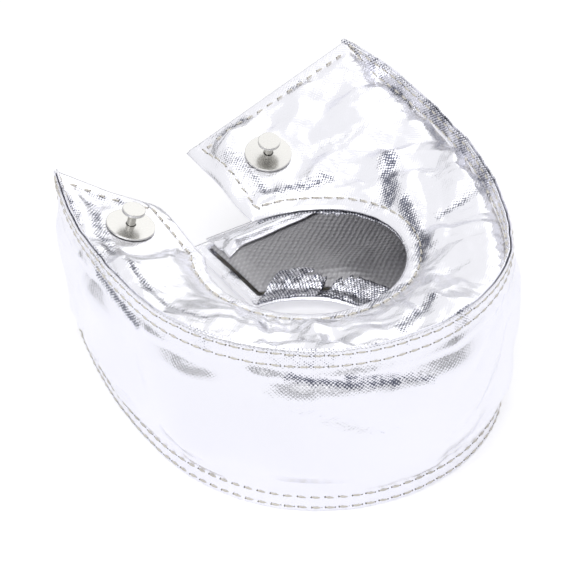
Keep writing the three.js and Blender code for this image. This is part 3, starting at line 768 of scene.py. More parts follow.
def make_band_layer(pattern, kind, material):
    l = pattern.l
    margin = l.felt_inset if kind == "felt" else l.gap
    run = stations(pattern, margin, 1.5 * MM)
    low = pattern.flange(run) + l.corner_clear + margin
    high = pattern.crest(run) - pattern.flange(run) - l.corner_clear - margin
    z = mix(low, high, np.linspace(0, 1, 46)[None, :])
    out, relief, full, crush_and_dark_reflection = pattern.band(run, z)
    near, far = layer_depths(pattern, kind, full)
    smooth = relief * (0.3 + 0.4 * (1 - full))
    front = out + (relief if kind == "felt" else smooth)
    face = placed(pattern, *pattern.band_point(run, z, near - front), z)
    back = placed(pattern, *pattern.band_point(run, z, far - out - smooth), z)
    chart = np.stack([run + 0 * z, z], -1)
    return closed_shell(f"band_{kind}", face, back, (chart, chart), 0, crush_and_dark_reflection, material)


def make_tabs(pattern, side, material):
    """Notched ends of the outer cloth, folded over the lining round an opening."""
    s, l = bpy.context.scene.blanket_seams, pattern.l
    inward = -1 if side == "upper" else 1
    count = int((pattern.right_join - pattern.left_join) * 0.55 / s.tab_width)
    edges = np.linspace(pattern.left_join + 2 * MM, pattern.right_join - 2 * MM, count + 1)
    across = np.linspace(0, 1, 26)[:, None]
    deep = np.linspace(0, 1, 16)[None, :]
    uneven = np.random.RandomState(5)
    tabs = []
    for k in range(count):
        notch = mix(0.2 * MM, uneven.uniform(3, 6) * MM, deep ** 1.3)
        run = mix(edges[k] + notch, edges[k + 1] - notch, across)
        size = s.tab * uneven.uniform(0.85, 1.1)
        inset = 0.5 * MM + size * deep + 0 * across
        x, y = pattern.inner_edge(run, inset)
        base = pattern.edge_height(side, run)
        full = pattern.swell(inset - l.hem)
        _, depth = layer_depths(pattern, "lining", full)
        lift = np.where(inset < l.hem, l.hem_thickness, depth)
        lift = mix(lift, depth, ease((inset - l.hem + 2 * MM) / (3 * MM)))
        rough = crumple(200 + k, 7 * MM, 0.3)(x, y)
        rough = rough + 0.35 * MM * noise(300 + k)(x / 0.003, y / 0.003)
        bulge = inward * full * l.panel_bulge
        z = base - bulge + inward * (lift + 0.35 * MM + np.abs(rough))
        face = placed(pattern, x, y, z + inward * 0.5 * MM)
        back = placed(pattern, x, y, z)
        chart = np.stack([run + 0 * inset, inset + 0 * run], -1)
        # Painted dark reflection: the tabs take a crush of 0.8, which paints blue-grey specks
        # into the cloth's colour
        tabs.append(closed_shell(f"{side}_tab_{k + 1}", face, back, (chart, chart), 0,
                                 np.full(z.shape, 0.8), material))
    return joined(f"{side}_hem_tabs", tabs)


def make_facing(pattern, name, low, high, material):
    """A folded strip of the outer cloth over the lining at an end of the lower panel."""
    l = pattern.l
    run = np.linspace(low, high, 40)[:, None]
    part = np.linspace(0.03, 0.985, 70)[None, :]
    x, y, z, full, _, relief, _ = pattern.panel("lower", run, part, l.hem)
    _, depth = layer_depths(pattern, "lining", full)
    fold = 1.1 * MM * np.abs(np.sin(TAU * (run - low) / (high - low))) ** 3
    depth = np.maximum(depth, l.hem_thickness) + 0.4 * MM + fold
    z = z - relief * (0.35 + 0.45 * (1 - full)) + depth
    face, back = placed(pattern, x, y, z + 0.5 * MM), placed(pattern, x, y, z)
    chart = face[..., :2]
    # Painted dark reflection: a mottled crush that paints blue-grey specks into the facing's
    # colour
    crush_and_dark_reflection = 0.25 + 0.3 * noise(91)(x / 0.008, y / 0.008)
    return closed_shell(name, face, back, (chart, chart), 0,
                        np.clip(crush_and_dark_reflection, 0, 1), material)


def joined(name, pieces):
    with bpy.context.temp_override(active_object=pieces[0], object=pieces[0],
                                   selected_editable_objects=pieces,
                                   selected_objects=pieces):
        bpy.ops.object.join()
    pieces[0].name = pieces[0].data.name = name
    return pieces[0]


# Stitches

def seam_rows(pattern):
    """The stitch rows: functions from run to a point and its way out."""
    s, l = bpy.context.scene.blanket_seams, pattern.l
    rows = []
    start, end = 4 * MM, pattern.total - 4 * MM

    def on_flange(side, height, outer):
        def at(run):
            tall = pattern.flange(run)
            if side == "upper":
                z = pattern.crest(run) - tall + height(tall)
            else:
                z = tall - height(tall)
            depth = 0.12 * MM if outer else 2 * l.skin + l.gap - 0.12 * MM
            (_, _), (ox, oy) = pattern.band_line(run)
            way = 1 if outer else -1
            return (placed(pattern, *pattern.band_point(run, z, depth), z),
                    np.stack([way * ox, way * oy, 0 * ox], -1))
        return at

    def on_panel(side, inset):
        inward = -1 if side == "upper" else 1

        def at(run):
            x, y, z, _, _, relief, _ = pattern.panel(side, run, 1.0, inset)
            z = z - inward * (relief - SEWN_ABOVE)
            return placed(pattern, x, y, z), np.stack([0 * x, 0 * x, 0 * x - inward], -1)
        return at

    def across_end(side, run, first, last):
        inward = -1 if side == "upper" else 1

        def at(part):
            x, y, z, _, _, relief, _ = pattern.panel(side, run, part, l.hem)
            z = z - inward * (relief - SEWN_ABOVE)
            return placed(pattern, x, y, z), np.stack([0 * x, 0 * x, 0 * x - inward], -1)
        return at, first, last

    def up_end(run):
        def at(z):
            (_, _), (ox, oy) = pattern.band_line(run)
            return (placed(pattern, *pattern.band_point(run, z, SEWN_ABOVE), z),
                    np.stack([ox + 0 * z, oy + 0 * z, 0 * z], -1))
        return at

    for side in ("upper", "lower"):
        for height in (lambda tall: tall - s.crest_row * tall / pattern.h.flange,
                       lambda tall: s.foot_row * tall / pattern.h.flange):
            for outer in (True, False):
                rows.append((on_flange(side, height, outer), start, end))
        rows.append((on_panel(side, l.hem - ROW_INSET), start, end))
        left, right = pattern.left_hem_run - ROW_INSET, pattern.right_hem_run - ROW_INSET
        rows.append(across_end(side, left, 0.04, 1))
        rows.append(across_end(side, pattern.total - right, 0.04, 1))
    for run in (pattern.left_hem_run - ROW_INSET,
                pattern.total - pattern.right_hem_run + ROW_INSET):
        rows.append((up_end(run), pattern.flange(run), pattern.crest(run)
                     - pattern.flange(run)))
    return rows


def taken_at(wanted, far, values):
    """The values at wanted lengths along a line."""
    return np.stack([np.interp(wanted, far, values[:, k]) for k in range(3)], -1)


def stitch_points(pattern):
    """Centres of all stitches with the way along the seam and the way out."""
    pitch = bpy.context.scene.blanket_seams.pitch
    centres, alongs, ups = [], [], []
    for at, start, end in seam_rows(pattern):
        fine = np.linspace(start, end, 1500)
        line, up = at(fine)
        steps = np.linalg.norm(np.diff(line, axis=0), axis=1)
        far = np.concatenate([[0], np.cumsum(steps)])
        count = int(far[-1] / pitch)
        wanted = (np.arange(count) + 0.5) * far[-1] / count
        centres.append(taken_at(wanted, far, line))
        alongs.append(taken_at(wanted + 1.2 * MM, far, line)
                      - taken_at(wanted - 1.2 * MM, far, line))
        ups.append(taken_at(wanted, far, up))
    return np.concatenate(centres), np.concatenate(alongs), np.concatenate(ups)


def put(tree, kind, inputs=None, **settings):
    """Add a node with its settings, and give its inputs values or links."""
    node = tree.nodes.new(kind)
    for name, value in settings.items():
        setattr(node, name, value)
    for name, value in (inputs or {}).items():
        if isinstance(value, bpy.types.NodeSocket):
            tree.links.new(value, node.inputs[name])
        else:
            node.inputs[name].default_value = value
    return node


def stitch_tree():
    tree = bpy.data.node_groups.new("sewn stitches", "GeometryNodeTree")
    face = tree.interface
    face.new_socket("Geometry", in_out="OUTPUT", socket_type="NodeSocketGeometry")
    face.new_socket("Geometry", in_out="INPUT", socket_type="NodeSocketGeometry")
    for name in ("Stitch length", "Thread radius", "Rise", "Hole radius"):
        face.new_socket(name, in_out="INPUT", socket_type="NodeSocketFloat")
    face.new_socket("Seed", in_out="INPUT", socket_type="NodeSocketInt")
    for name in ("Thread", "Hole"):
        face.new_socket(name, in_out="INPUT", socket_type="NodeSocketMaterial")
    given = put(tree, "NodeGroupInput").outputs

    def scaled(value, factor):
        return put(tree, "ShaderNodeMath", {0: value, 1: factor},
                   operation="MULTIPLY").outputs[0]

    def vector(x=0.0, z=0.0):
        return put(tree, "ShaderNodeCombineXYZ", {"X": x, "Z": z}).outputs[0]
    sunk = scaled(given["Thread radius"], -1.2)
    bend = put(tree, "GeometryNodeCurveQuadraticBezier", {
        "Resolution": 6,
        "Start": vector(scaled(given["Stitch length"], -0.5), sunk),
        "Middle": vector(0.0, scaled(given["Rise"], 2.6)),
        "End": vector(scaled(given["Stitch length"], 0.5), sunk)}).outputs[0]
    profile = put(tree, "GeometryNodeCurvePrimitiveCircle",
                  {"Resolution": 6, "Radius": given["Thread radius"]}).outputs[0]
    stitch = put(tree, "GeometryNodeCurveToMesh",
                 {"Curve": bend, "Profile Curve": profile, "Fill Caps": True}).outputs[0]
    disc = put(tree, "GeometryNodeMeshCylinder",
               {"Vertices": 8, "Radius": given["Hole radius"], "Depth": 0.16 * MM}).outputs[0]
    ends = [put(tree, "GeometryNodeTransform", {
        "Geometry": disc,
        "Translation": vector(scaled(given["Stitch length"], way), 0.05 * MM)}).outputs[0]
        for way in (-0.5, 0.5)]
    holes = put(tree, "GeometryNodeJoinGeometry")
    for end in ends:
        tree.links.new(end, holes.inputs[0])
    up = put(tree, "GeometryNodeInputNamedAttribute", {"Name": "up"},
             data_type="FLOAT_VECTOR").outputs[0]
    along = put(tree, "GeometryNodeInputNamedAttribute", {"Name": "along"},
                data_type="FLOAT_VECTOR").outputs[0]
    stance = put(tree, "FunctionNodeAxesToRotation",
                 {"Primary Axis": up, "Secondary Axis": along},
                 primary_axis="Z", secondary_axis="X").outputs[0]
    yaw = put(tree, "FunctionNodeRandomValue", {"Seed": given["Seed"]}, data_type="FLOAT")
    yaw_out = next(o for o in yaw.outputs if o.enabled)
    for name, value in (("Min", -0.09), ("Max", 0.09)):
        next(i for i in yaw.inputs if i.name == name and i.enabled).default_value = value
    spin = put(tree, "FunctionNodeEulerToRotation",
               {0: put(tree, "ShaderNodeCombineXYZ", {"Z": yaw_out}).outputs[0]}).outputs[0]
    turned = put(tree, "FunctionNodeRotateRotation",
                 {"Rotation": stance, "Rotate By": spin}, rotation_space="LOCAL").outputs[0]
    both = put(tree, "GeometryNodeJoinGeometry")
    for shape, finish in ((stitch, "Thread"), (holes.outputs[0], "Hole")):
        laid = put(tree, "GeometryNodeInstanceOnPoints", {
            "Points": given["Geometry"], "Instance": shape, "Rotation": turned}).outputs[0]
        real = put(tree, "GeometryNodeRealizeInstances", {"Geometry": laid}).outputs[0]
        done = put(tree, "GeometryNodeSetMaterial",
                   {"Geometry": real, "Material": given[finish]}).outputs[0]
        tree.links.new(done, both.inputs[0])
    put(tree, "NodeGroupOutput", {"Geometry": both.outputs[0]})
    return tree


def make_stitches(pattern, thread, hole):
    s = bpy.context.scene.blanket_seams
    centres, alongs, ups = stitch_points(pattern)
    mesh = bpy.data.meshes.new("stitch_places")
    mesh.from_pydata(centres.tolist(), [], [])
    for name, values in (("along", alongs), ("up", ups)):
        held = mesh.attributes.new(name, "FLOAT_VECTOR", "POINT")
        held.data.foreach_set("vector", values.astype(np.float32).ravel())
    places = show("stitch_places", mesh)
    tree = stitch_tree()
    modifier = places.modifiers.new("stitches", "NODES")
    modifier.node_group = tree
    values = {"Stitch length": s.stitch, "Thread radius": s.thread, "Rise": s.rise,
              "Hole radius": s.hole, "Seed": 7, "Thread": thread, "Hole": hole}
    for item in tree.interface.items_tree:
        if item.item_type == "SOCKET" and item.in_out == "INPUT" and item.name in values:
            modifier[item.identifier] = values[item.name]
    sewn = places.evaluated_get(bpy.context.evaluated_depsgraph_get())
    result = bpy.data.meshes.new_from_object(sewn)
    bpy.data.objects.remove(places)
    result.polygons.foreach_set("use_smooth", [True] * len(result.polygons))
    return show("seam_stitches", result)


# Anchors

def turned_piece(name, profile, matrix, material, sides=56):
    """A closed solid turned from a profile of radius and height round an axis."""
    points, faces = [], []
    count = len(profile)
    rims = []
    for k, (radius, z) in enumerate(profile):
        if radius == 0:
            rims.append([len(points)] * sides)
            points.append((0, 0, z))
            continue
        rims.append(list(range(len(points), len(points) + sides)))
        points += [(radius * math.cos(TAU * n / sides), radius * math.sin(TAU * n / sides), z)
                   for n in range(sides)]
    loops = count if profile[0][0] else count - 1
    for k in range(loops):
        low, high = rims[k], rims[(k + 1) % count]
        for n in range(sides):
            m = (n + 1) % sides
            corners = [low[n], low[m], high[m], high[n]]
            corners = [c for i, c in enumerate(corners) if c not in corners[:i]]
            faces.append(corners)
    mesh = bpy.data.meshes.new(name)
    mesh.from_pydata([matrix @ Vector(p) for p in points], [], faces)
    mesh.polygons.foreach_set("use_smooth", [True] * len(faces))
    mesh.materials.append(material)
    mesh.set_sharp_from_angle(angle=math.radians(40))
    return show(name, mesh)


def rounded(corners, radius, steps=3):
    """A closed profile with each of its corners rounded."""
    result = []
    for k, corner in enumerate(corners):
        before, after = Vector(corners[k - 1]), Vector(corners[(k + 1) % len(corners)])
        here = Vector(corner)
        if here.x == 0:
            result.append(tuple(here))
            continue
        to_before, to_after = (before - here).normalized(), (after - here).normalized()
        a, b = here + to_before * radius, here + to_after * radius
        # A ring just outside the curve keeps the flats flat
        result.append(tuple(a + to_before * radius * 0.3))
        for n in range(steps + 1):
            t = n / steps
            result.append(tuple((1 - t) ** 2 * a + 2 * t * (1 - t) * here + t * t * b))
        result.append(tuple(b + to_after * radius * 0.3))
    return result


def make_anchor(pattern, leg, material):
    a, l = pattern.a, pattern.l
    x, y, z, axis = pattern.seats["upper"][leg]
    stance = Vector((0, 0, 1)).rotation_difference(axis).to_matrix().to_4x4()
    place = Matrix.Translation((x + pattern.shift[0], y + pattern.shift[1], z)) @ stance
    tilt = axis.angle(Vector((0, 0, 1)))
    _, through = layer_depths(pattern, "lining", 1.0)
    through *= math.cos(tilt)
    hole = a.shank_radius + a.shank_clearance
    top = l.gap + a.washer
    plate_face = -(through + l.gap)
    plate_back = plate_face - a.washer
    head_low = top + a.neck
    head_top = head_low + a.head
    rivet_top = plate_back - l.gap
    rivet_low = rivet_top - a.rivet
    dish = 0.12 * MM
    washer = rounded([(hole, l.gap), (a.washer_radius, l.gap),
                      (a.washer_radius, top - dish), (hole, top)], 0.22 * MM)
    plate = rounded([(hole, plate_back), (a.plate_radius, plate_back),
                     (a.plate_radius, plate_face), (hole, plate_face)], 0.22 * MM)
    pin = rounded([(0, rivet_low), (a.rivet_radius, rivet_low), (a.rivet_radius, rivet_top),
                   (a.shank_radius, rivet_top), (a.shank_radius, head_low),
                   (a.head_radius, head_low), (a.head_radius, head_top), (0, head_top)],
                  0.28 * MM)
    for kind, profile in (("washer", washer), ("plate", plate), ("pin", pin)):
        piece = turned_piece(f"{leg}_{kind}", profile, place, material)
        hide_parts(f"top_{leg}_anchor_{kind}")
        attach(piece, BODY)


# Finishes

def new_material(name):
    material = bpy.data.materials.new(name)
    material.use_nodes = True
    tree = material.node_tree
    shader = tree.nodes["Principled BSDF"]
    return material, tree, shader


def rgba(values):
    return (*values, 1.0)


def woven(tree, pitch_u, pitch_v):
    """Crowns of a plain weave, from -1 to 1, and the two charted coordinates."""
    chart = put(tree, "ShaderNodeUVMap", uv_map="weave").outputs[0]
    drift = put(tree, "ShaderNodeTexNoise", {"Vector": chart, "Scale": 160.0, "Detail": 2.0})
    moved = put(tree, "ShaderNodeVectorMath",
                {0: drift.outputs["Color"], 1: (0.0009, 0.0009, 0.0)},
                operation="MULTIPLY").outputs[0]
    bent = put(tree, "ShaderNodeVectorMath", {0: chart, 1: moved}, operation="ADD").outputs[0]
    split = put(tree, "ShaderNodeSeparateXYZ", {"Vector": bent}).outputs
    waves = []
    for axis, pitch in (("X", pitch_u), ("Y", pitch_v)):
        turned = put(tree, "ShaderNodeMath", {0: split[axis], 1: TAU / pitch},
                     operation="MULTIPLY").outputs[0]
        waves.append(put(tree, "ShaderNodeMath", {0: turned}, operation="SINE").outputs[0])
    crown = put(tree, "ShaderNodeMath", {0: waves[0], 1: waves[1]},
                operation="MULTIPLY").outputs[0]
    return crown, chart


def blended(tree, share, low, high):
    """A colour between two by a share."""
    blend = put(tree, "ShaderNodeMix", {"Factor": share}, data_type="RGBA")
    # Mix has a socket of each name for every data type, so the colour ones are picked
    for name, value in (("A", low), ("B", high)):
        for socket in blend.inputs:
            if socket.name == name and socket.type == "RGBA":
                socket.default_value = rgba(value)
    return next(o for o in blend.outputs if o.type == "RGBA")


def speckled(tree, shader, low, high, **noise_inputs):
    """Colour the shader by a noise on Object coordinates, and give the noise."""
    place = put(tree, "ShaderNodeTexCoord").outputs["Object"]
    values = {name.capitalize(): value for name, value in noise_inputs.items()}
    grain = put(tree, "ShaderNodeTexNoise", {"Vector": place, **values}).outputs["Fac"]
    tint = put(tree, "ShaderNodeValToRGB", {"Fac": grain})
    for stop, value in zip(tint.color_ramp.elements, (low, high)):
        stop.color = rgba(value)
    tree.links.new(tint.outputs[0], shader.inputs["Base Color"])
    return grain


def shade(values, factor):
    return [min(1, c * factor) for c in values]


def aluminised_cloth(colours):
    """Plain-woven glass cloth with an aluminium foil face. The foil mirrors the
    room in a near-white sheen and follows every yarn. Where the cloth has been
    crushed, blue-grey specks painted into its colour stand for dark reflection in
    the yarn sides, and the yarn and crinkle bumps grow deeper."""
    material, tree, shader = new_material("aluminised_glass_cloth")
    # The yarns are about 0.5 mm apart, drawn at 0.8 and 0.65 mm so that they show
    crown, chart = woven(tree, 1.6 * MM, 1.3 * MM)
    crush_and_dark_reflection = put(tree, "ShaderNodeAttribute", attribute_name="crush_and_dark_reflection").outputs["Fac"]
    cloud = put(tree, "ShaderNodeTexNoise",
                {"Vector": chart, "Scale": 300.0, "Detail": 6.0, "Roughness": 0.72})
    # Painted dark reflection: blue-grey specks mixed into the base colour, more of them the more
    # the cloth is crushed
    speck = put(tree, "ShaderNodeMath", {0: crown, 1: 0.2}, operation="MULTIPLY").outputs[0]
    speck = put(tree, "ShaderNodeMath", {0: cloud.outputs["Fac"], 1: speck},
                operation="ADD").outputs[0]
    level = put(tree, "ShaderNodeMapRange",
                {"Value": crush_and_dark_reflection, "From Min": 0.12, "From Max": 1.0, "To Min": 0.88,
                 "To Max": 0.36}).outputs[0]
    over = put(tree, "ShaderNodeMath", {0: speck, 1: level}, operation="SUBTRACT").outputs[0]
    dark = put(tree, "ShaderNodeMapRange",
               {"Value": over, "From Min": 0.0, "From Max": 0.11, "To Max": 0.9}).outputs[0]
    tree.links.new(blended(tree, dark, colours.cloth, colours.cloth_dark_reflection),
                   shader.inputs["Base Color"])
    shader.inputs["Metallic"].default_value = 0.9
    shader.inputs["Roughness"].default_value = 0.24
    yarn = put(tree, "ShaderNodeMapRange",
               {"Value": crush_and_dark_reflection, "To Min": 0.35, "To Max": 1.0}).outputs[0]
    height = put(tree, "ShaderNodeMath", {0: crown, 1: yarn}, operation="MULTIPLY").outputs[0]
    fine = put(tree, "ShaderNodeBump",
               {"Height": height, "Strength": 1.0, "Distance": 0.045 * MM}).outputs[0]
    crinkle = put(tree, "ShaderNodeTexNoise",
                  {"Vector": chart, "Scale": 330.0, "Detail": 4.0, "Roughness": 0.6})
    strength = put(tree, "ShaderNodeMapRange",
                   {"Value": crush_and_dark_reflection, "From Min": 0.1, "To Min": 0.1, "To Max": 1.0}).outputs[0]
    normal = put(tree, "ShaderNodeBump", {
        "Height": crinkle.outputs["Fac"], "Strength": strength, "Distance": 1.1 * MM,
        "Normal": fine}).outputs[0]
    tree.links.new(normal, shader.inputs["Normal"])
    return material


def lining_cloth(colours):
    """Grey twill of glass yarn with a dull metal wash. Its yarn crowns catch the
    light as rows of pale dots on a dark ground."""
    material, tree, shader = new_material("woven_lining_cloth")
    # The dots are 1.8 mm apart in offset rows
    crown, chart = woven(tree, 3.6 * MM, 2.6 * MM)
    dot = put(tree, "ShaderNodeMapRange",
              {"Value": crown, "From Min": 0.1, "From Max": 0.9}).outputs[0]
    cloud = put(tree, "ShaderNodeTexNoise", {"Vector": chart, "Scale": 900.0, "Detail": 3.0})
    share = put(tree, "ShaderNodeMath", {0: dot, 1: cloud.outputs["Fac"]},
                operation="MULTIPLY").outputs[0]
    tree.links.new(blended(tree, share, colours.lining, colours.lining_light),
                   shader.inputs["Base Color"])
    shader.inputs["Metallic"].default_value = 0.35
    shader.inputs["Roughness"].default_value = 0.5
    bump = put(tree, "ShaderNodeBump",
               {"Height": crown, "Strength": 1.0, "Distance": 0.14 * MM}).outputs[0]
    tree.links.new(bump, shader.inputs["Normal"])
    return material


def glass_felt(colours):
    """Needled glass felt: a matt cream fleece with fibres lying every way."""
    material, tree, shader = new_material("needled_glass_felt")
    fibre = speckled(tree, shader, shade(colours.felt, 0.7), colours.felt,
                     scale=1200.0, detail=6.0, distortion=2.0)
    shader.inputs["Roughness"].default_value = 1.0
    bump = put(tree, "ShaderNodeBump",
               {"Height": fibre, "Distance": 0.3 * MM}).outputs[0]
    tree.links.new(bump, shader.inputs["Normal"])
    return material


def stainless(colours):
    """Turned and tumbled stainless steel: a warm grey mirror, faintly mottled in
    colour, roughness and surface, slightly softened by handling."""
    material, tree, shader = new_material("turned_stainless_steel")
    wear = speckled(tree, shader, shade(colours.steel, 0.86), colours.steel,
                    scale=900.0, detail=4.0)
    rough = put(tree, "ShaderNodeMapRange", {
        "Value": wear, "To Min": 0.16, "To Max": 0.34}).outputs[0]
    tree.links.new(rough, shader.inputs["Roughness"])
    shader.inputs["Metallic"].default_value = 1.0
    bump = put(tree, "ShaderNodeBump",
               {"Height": wear, "Strength": 0.3, "Distance": 0.03 * MM})
    tree.links.new(bump.outputs[0], shader.inputs["Normal"])
    return material


def sewing_thread(colours):
    """Twisted glass thread with a dressing: matt cream with darker plies."""
    material, tree, shader = new_material("glass_sewing_thread")
    plies = speckled(tree, shader, shade(colours.thread, 0.8), colours.thread,
                     scale=1500.0, detail=3.0)
    shader.inputs["Roughness"].default_value = 0.75
    bump = put(tree, "ShaderNodeBump",
               {"Height": plies, "Distance": 0.1 * MM}).outputs[0]
    tree.links.new(bump, shader.inputs["Normal"])
    return material


def needle_hole(colours):
    """Pierced cloth: the shadow in a needle hole, with a few fibres in it."""
    material, tree, shader = new_material("pierced_cloth_shadow")
    speckled(tree, shader, shade(colours.hole, 0.5), shade(colours.hole, 2), scale=2500.0)
    shader.inputs["Roughness"].default_value = 1.0
    return material


def finish_named(name, make):
    return bpy.data.materials.get(name) or make(bpy.context.scene.blanket_colours)


# Operators

class MakeSkins(bpy.types.Operator):
    """Make the outer cloths of the two panels and the side band"""

    bl_idname = "blanket.make_skins"
    bl_label = "Outer cloths"

    def execute(self, context):
        pattern = Pattern(context.scene)
        cloth = finish_named("aluminised_glass_cloth", aluminised_cloth)
        for side, node in (("upper", "top"), ("lower", "bottom")):
            piece, area = make_panel_skin(pattern, side, cloth)
            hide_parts(f"{node}_outer_skin")
            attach(piece, BODY)
        piece, area = make_band_skin(pattern, cloth)
        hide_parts("side_outer_skin")
        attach(piece, BODY)
        return {"FINISHED"}


class MakeFelts(bpy.types.Operator):
    """Make the felt pads between the cloths"""

    bl_idname = "blanket.make_felts"
    bl_label = "Felt pads"

    def execute(self, context):
        pattern = Pattern(context.scene)
        felt = finish_named("needled_glass_felt", glass_felt)
        pads = [(make_panel_layer(pattern, side, "felt", felt), f"{node}_insulation")
                for side, node in (("upper", "top"), ("lower", "bottom"))]
        pads.append((make_band_layer(pattern, "felt", felt), "side_insulation"))
        for piece, node in pads:
            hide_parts(node)
            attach(piece, BODY)
        return {"FINISHED"}


class MakeLinings(bpy.types.Operator):
    """Make the lining cloths that face the housing"""

    bl_idname = "blanket.make_linings"
    bl_label = "Linings"

    def execute(self, context):
        pattern = Pattern(context.scene)
        cloth = finish_named("woven_lining_cloth", lining_cloth)
        linings = [(make_panel_layer(pattern, side, "lining", cloth), f"{node}_lining",
                    (0.2, 0.2))
                   for side, node in (("upper", "top"), ("lower", "bottom"))]
        linings.append((make_band_layer(pattern, "lining", cloth), "side_lining",
                        (pattern.total, 0.06)))
        for piece, node, flat in linings:
            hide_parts(node)
            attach(piece, BODY)
        return {"FINISHED"}


class MakeTabs(bpy.types.Operator):
    """Make the notched tabs folded over the linings round the openings"""

    bl_idname = "blanket.make_tabs"
    bl_label = "Folded tabs"

    def execute(self, context):
        pattern = Pattern(context.scene)
        cloth = finish_named("aluminised_glass_cloth", aluminised_cloth)
        pieces = [(make_tabs(pattern, side, cloth), 0.013, f"{side}_lining")
                  for side in ("upper", "lower")]
        left, right = pattern.left_hem_run, pattern.total - pattern.right_hem_run
        ends = (("lower_left_facing", FACING_CLEAR, left + LEFT_FACING_REACH),
                ("lower_right_facing", right - RIGHT_FACING_REACH,
                 pattern.total - FACING_CLEAR))
        for name, low, high in ends:
            piece = make_facing(pattern, name, low, high, cloth)
            pieces.append((piece, high - low, "lower_lining"))
        for piece, wide, under in pieces:
            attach(piece, BODY)
        return {"FINISHED"}


class MakeStitches(bpy.types.Operator):
    """Sew the stitch rows along the flanges and hems"""

    bl_idname = "blanket.make_stitches"
    bl_label = "Stitches"

    def execute(self, context):
        thread = finish_named("glass_sewing_thread", sewing_thread)
        hole = finish_named("pierced_cloth_shadow", needle_hole)
        piece = make_stitches(Pattern(context.scene), thread, hole)
        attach(piece, BODY)
        return {"FINISHED"}


class MakeAnchors(bpy.types.Operator):
    """Make the two lacing anchors"""

    bl_idname = "blanket.make_anchors"
    bl_label = "Lacing anchors"

    def execute(self, context):
        pattern = Pattern(context.scene)
        steel = finish_named("turned_stainless_steel", stainless)
        for leg in ("left", "right"):
            make_anchor(pattern, leg, steel)
        return {"FINISHED"}


class MakeStage(bpy.types.Operator):
    """Make the floor, the lights, the dark cards and the camera"""

    bl_idname = "blanket.make_stage"
    bl_label = "Studio"

    def execute(self, context):
        scene = context.scene
        scene.view_settings.view_transform = "Standard"
        make_floor(scene.blanket_colours)
        make_world(scene)
        make_cards()
        make_lights()
        make_camera(scene)
        return {"FINISHED"}


def flat_mesh(name, corners, material):
    mesh = bpy.data.meshes.new(name)
    mesh.from_pydata(corners, [], [(0, 1, 2, 3)])
    mesh.materials.append(material)
    return show(name, mesh)


def looked_at(tree):
    """1 for the camera and for what metal mirrors, 0 for light on the object."""
    path = put(tree, "ShaderNodeLightPath").outputs
    seen = path["Is Camera Ray"]
    for other in ("Is Glossy Ray", "Is Transmission Ray"):
        seen = put(tree, "ShaderNodeMath", {0: seen, 1: path[other]},
                   operation="MAXIMUM").outputs[0]
    return seen


def make_floor(colours):
    """Pale seamless paper: flat and matt, lifted only where it is looked at."""
    material, tree, shader = new_material("seamless_paper_floor")
    shader.inputs["Base Color"].default_value = rgba(colours.floor)
    shader.inputs["Roughness"].default_value = 1.0
    shader.inputs["Specular IOR Level"].default_value = 0.0
    shader.inputs["Emission Color"].default_value = (1, 1, 1, 1)
    glow = put(tree, "ShaderNodeMapRange",
               {"Value": looked_at(tree), "To Min": 0.0, "To Max": 0.4}).outputs[0]
    tree.links.new(glow, shader.inputs["Emission Strength"])
    half = 3.0
    floor = flat_mesh("studio_floor", [(-half, -half, 0), (half, -half, 0),
                                       (half, half, 0), (-half, half, 0)], material)


def make_world(scene):
    world = bpy.data.worlds.new("studio")
    scene.world = world
    world.use_nodes = True
    tree = world.node_tree
    back = tree.nodes["Background"]
    back.inputs["Color"].default_value = (1, 1, 1, 1)
    strength = put(tree, "ShaderNodeMapRange",
                   {"Value": looked_at(tree), "To Min": 0.45, "To Max": 1.0}).outputs[0]
    tree.links.new(strength, back.inputs["Strength"])


def make_cards():
    """Black cards low round the table, which only reflections see. They put the
    dark lines in the folds of the foil."""
    material, _, shader = new_material("black_card")
    shader.inputs["Base Color"].default_value = rgba(linear("#1c1f2b"))
    shader.inputs["Roughness"].default_value = 1.0
    far = 1.6
    for k in range(16):
        middle = TAU * k / 16
        low, high = 0.02, 0.30
        ends = [(far * math.cos(middle + way), far * math.sin(middle + way))
                for way in (-TAU / 36, TAU / 36)]
        card = flat_mesh(f"card_{k + 1}", [(*ends[0], low), (*ends[1], low),
                                           (*ends[1], high), (*ends[0], high)], material)
        card.visible_camera = False
        card.visible_diffuse = False
        card.visible_shadow = False


def make_lights():
    for name, place, size, watts in (
            ("key_softbox", (-0.5, -0.35, 1.3), 1.0, 6.5),
            ("fill_softbox", (0.9, 0.5, 1.1), 1.2, 3.0)):
        lamp = bpy.data.lights.new(name, "AREA")
        lamp.size, lamp.energy = size, watts
        light = bpy.data.objects.new(name, lamp)
        light.location = place
        aim = Vector((0, 0, 0.04)) - Vector(place)
        light.rotation_euler = aim.to_track_quat("-Z", "Y").to_euler()
        bpy.context.scene.collection.objects.link(light)


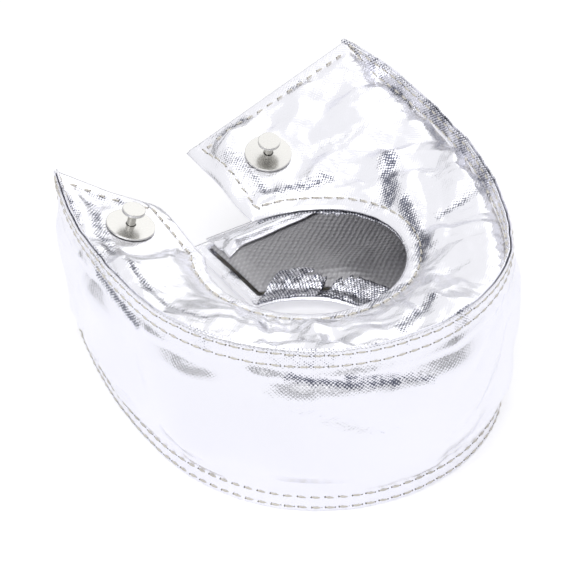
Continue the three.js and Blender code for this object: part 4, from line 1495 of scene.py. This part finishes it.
def make_camera(scene):
    """A long lens from the front left, looking down at 38 degrees."""
    data = bpy.data.cameras.new("camera")
    data.sensor_width, data.lens = 36.0, 134.07
    camera = bpy.data.objects.new("camera", data)
    forward = Vector((0.4292, 0.6609, -0.6157))
    right, up = Vector((0.8387, -0.5446, 0)), Vector((0.3353, 0.5164, 0.7880))
    aim = (forward - right * 0.00741 + up * 0.02963).normalized()
    side = aim.cross(up).normalized()
    over = side.cross(aim)
    turn_to = Matrix((side, over, -aim)).transposed().to_4x4()
    camera.matrix_world = Matrix.Translation((-0.3857, -0.5910, 0.5541)) @ turn_to
    scene.collection.objects.link(camera)
    scene.camera = camera


class BlanketPanel(bpy.types.Panel):
    """Lists the blanket's sizes and the operators that make it"""

    bl_idname = "VIEW3D_PT_heat_blanket"
    bl_label = "Heat blanket"
    bl_space_type = "VIEW_3D"
    bl_region_type = "UI"
    bl_category = "Heat blanket"

    def draw(self, context):
        for maker in OPERATORS:
            self.layout.operator(maker.bl_idname)
        for name in GROUPS:
            box = self.layout.box()
            group = getattr(context.scene, name)
            for field in GROUPS[name].__annotations__:
                box.prop(group, field)


GROUPS = {
    "blanket_plan": BlanketPlan, "blanket_heights": BlanketHeights,
    "blanket_layers": BlanketLayers, "blanket_seams": BlanketSeams,
    "blanket_anchors": BlanketAnchors, "blanket_colours": BlanketColours,
}
OPERATORS = [MakeFelts, MakeSkins, MakeLinings, MakeTabs, MakeStitches, MakeAnchors,
             MakeStage]


def register():
    for kind in (*GROUPS.values(), *OPERATORS, BlanketPanel):
        bpy.utils.register_class(kind)
    for name, kind in GROUPS.items():
        setattr(bpy.types.Scene, name, bpy.props.PointerProperty(type=kind))


def unregister():
    for name in GROUPS:
        delattr(bpy.types.Scene, name)
    for kind in reversed((*GROUPS.values(), *OPERATORS, BlanketPanel)):
        bpy.utils.unregister_class(kind)


def main():
    register()
    bpy.ops.blanket.make_felts()
    bpy.ops.blanket.make_skins()
    bpy.ops.blanket.make_linings()
    bpy.ops.blanket.make_tabs()
    bpy.ops.blanket.make_stitches()
    bpy.ops.blanket.make_anchors()
    bpy.ops.blanket.make_stage()


if __name__ == "__main__":
    main()
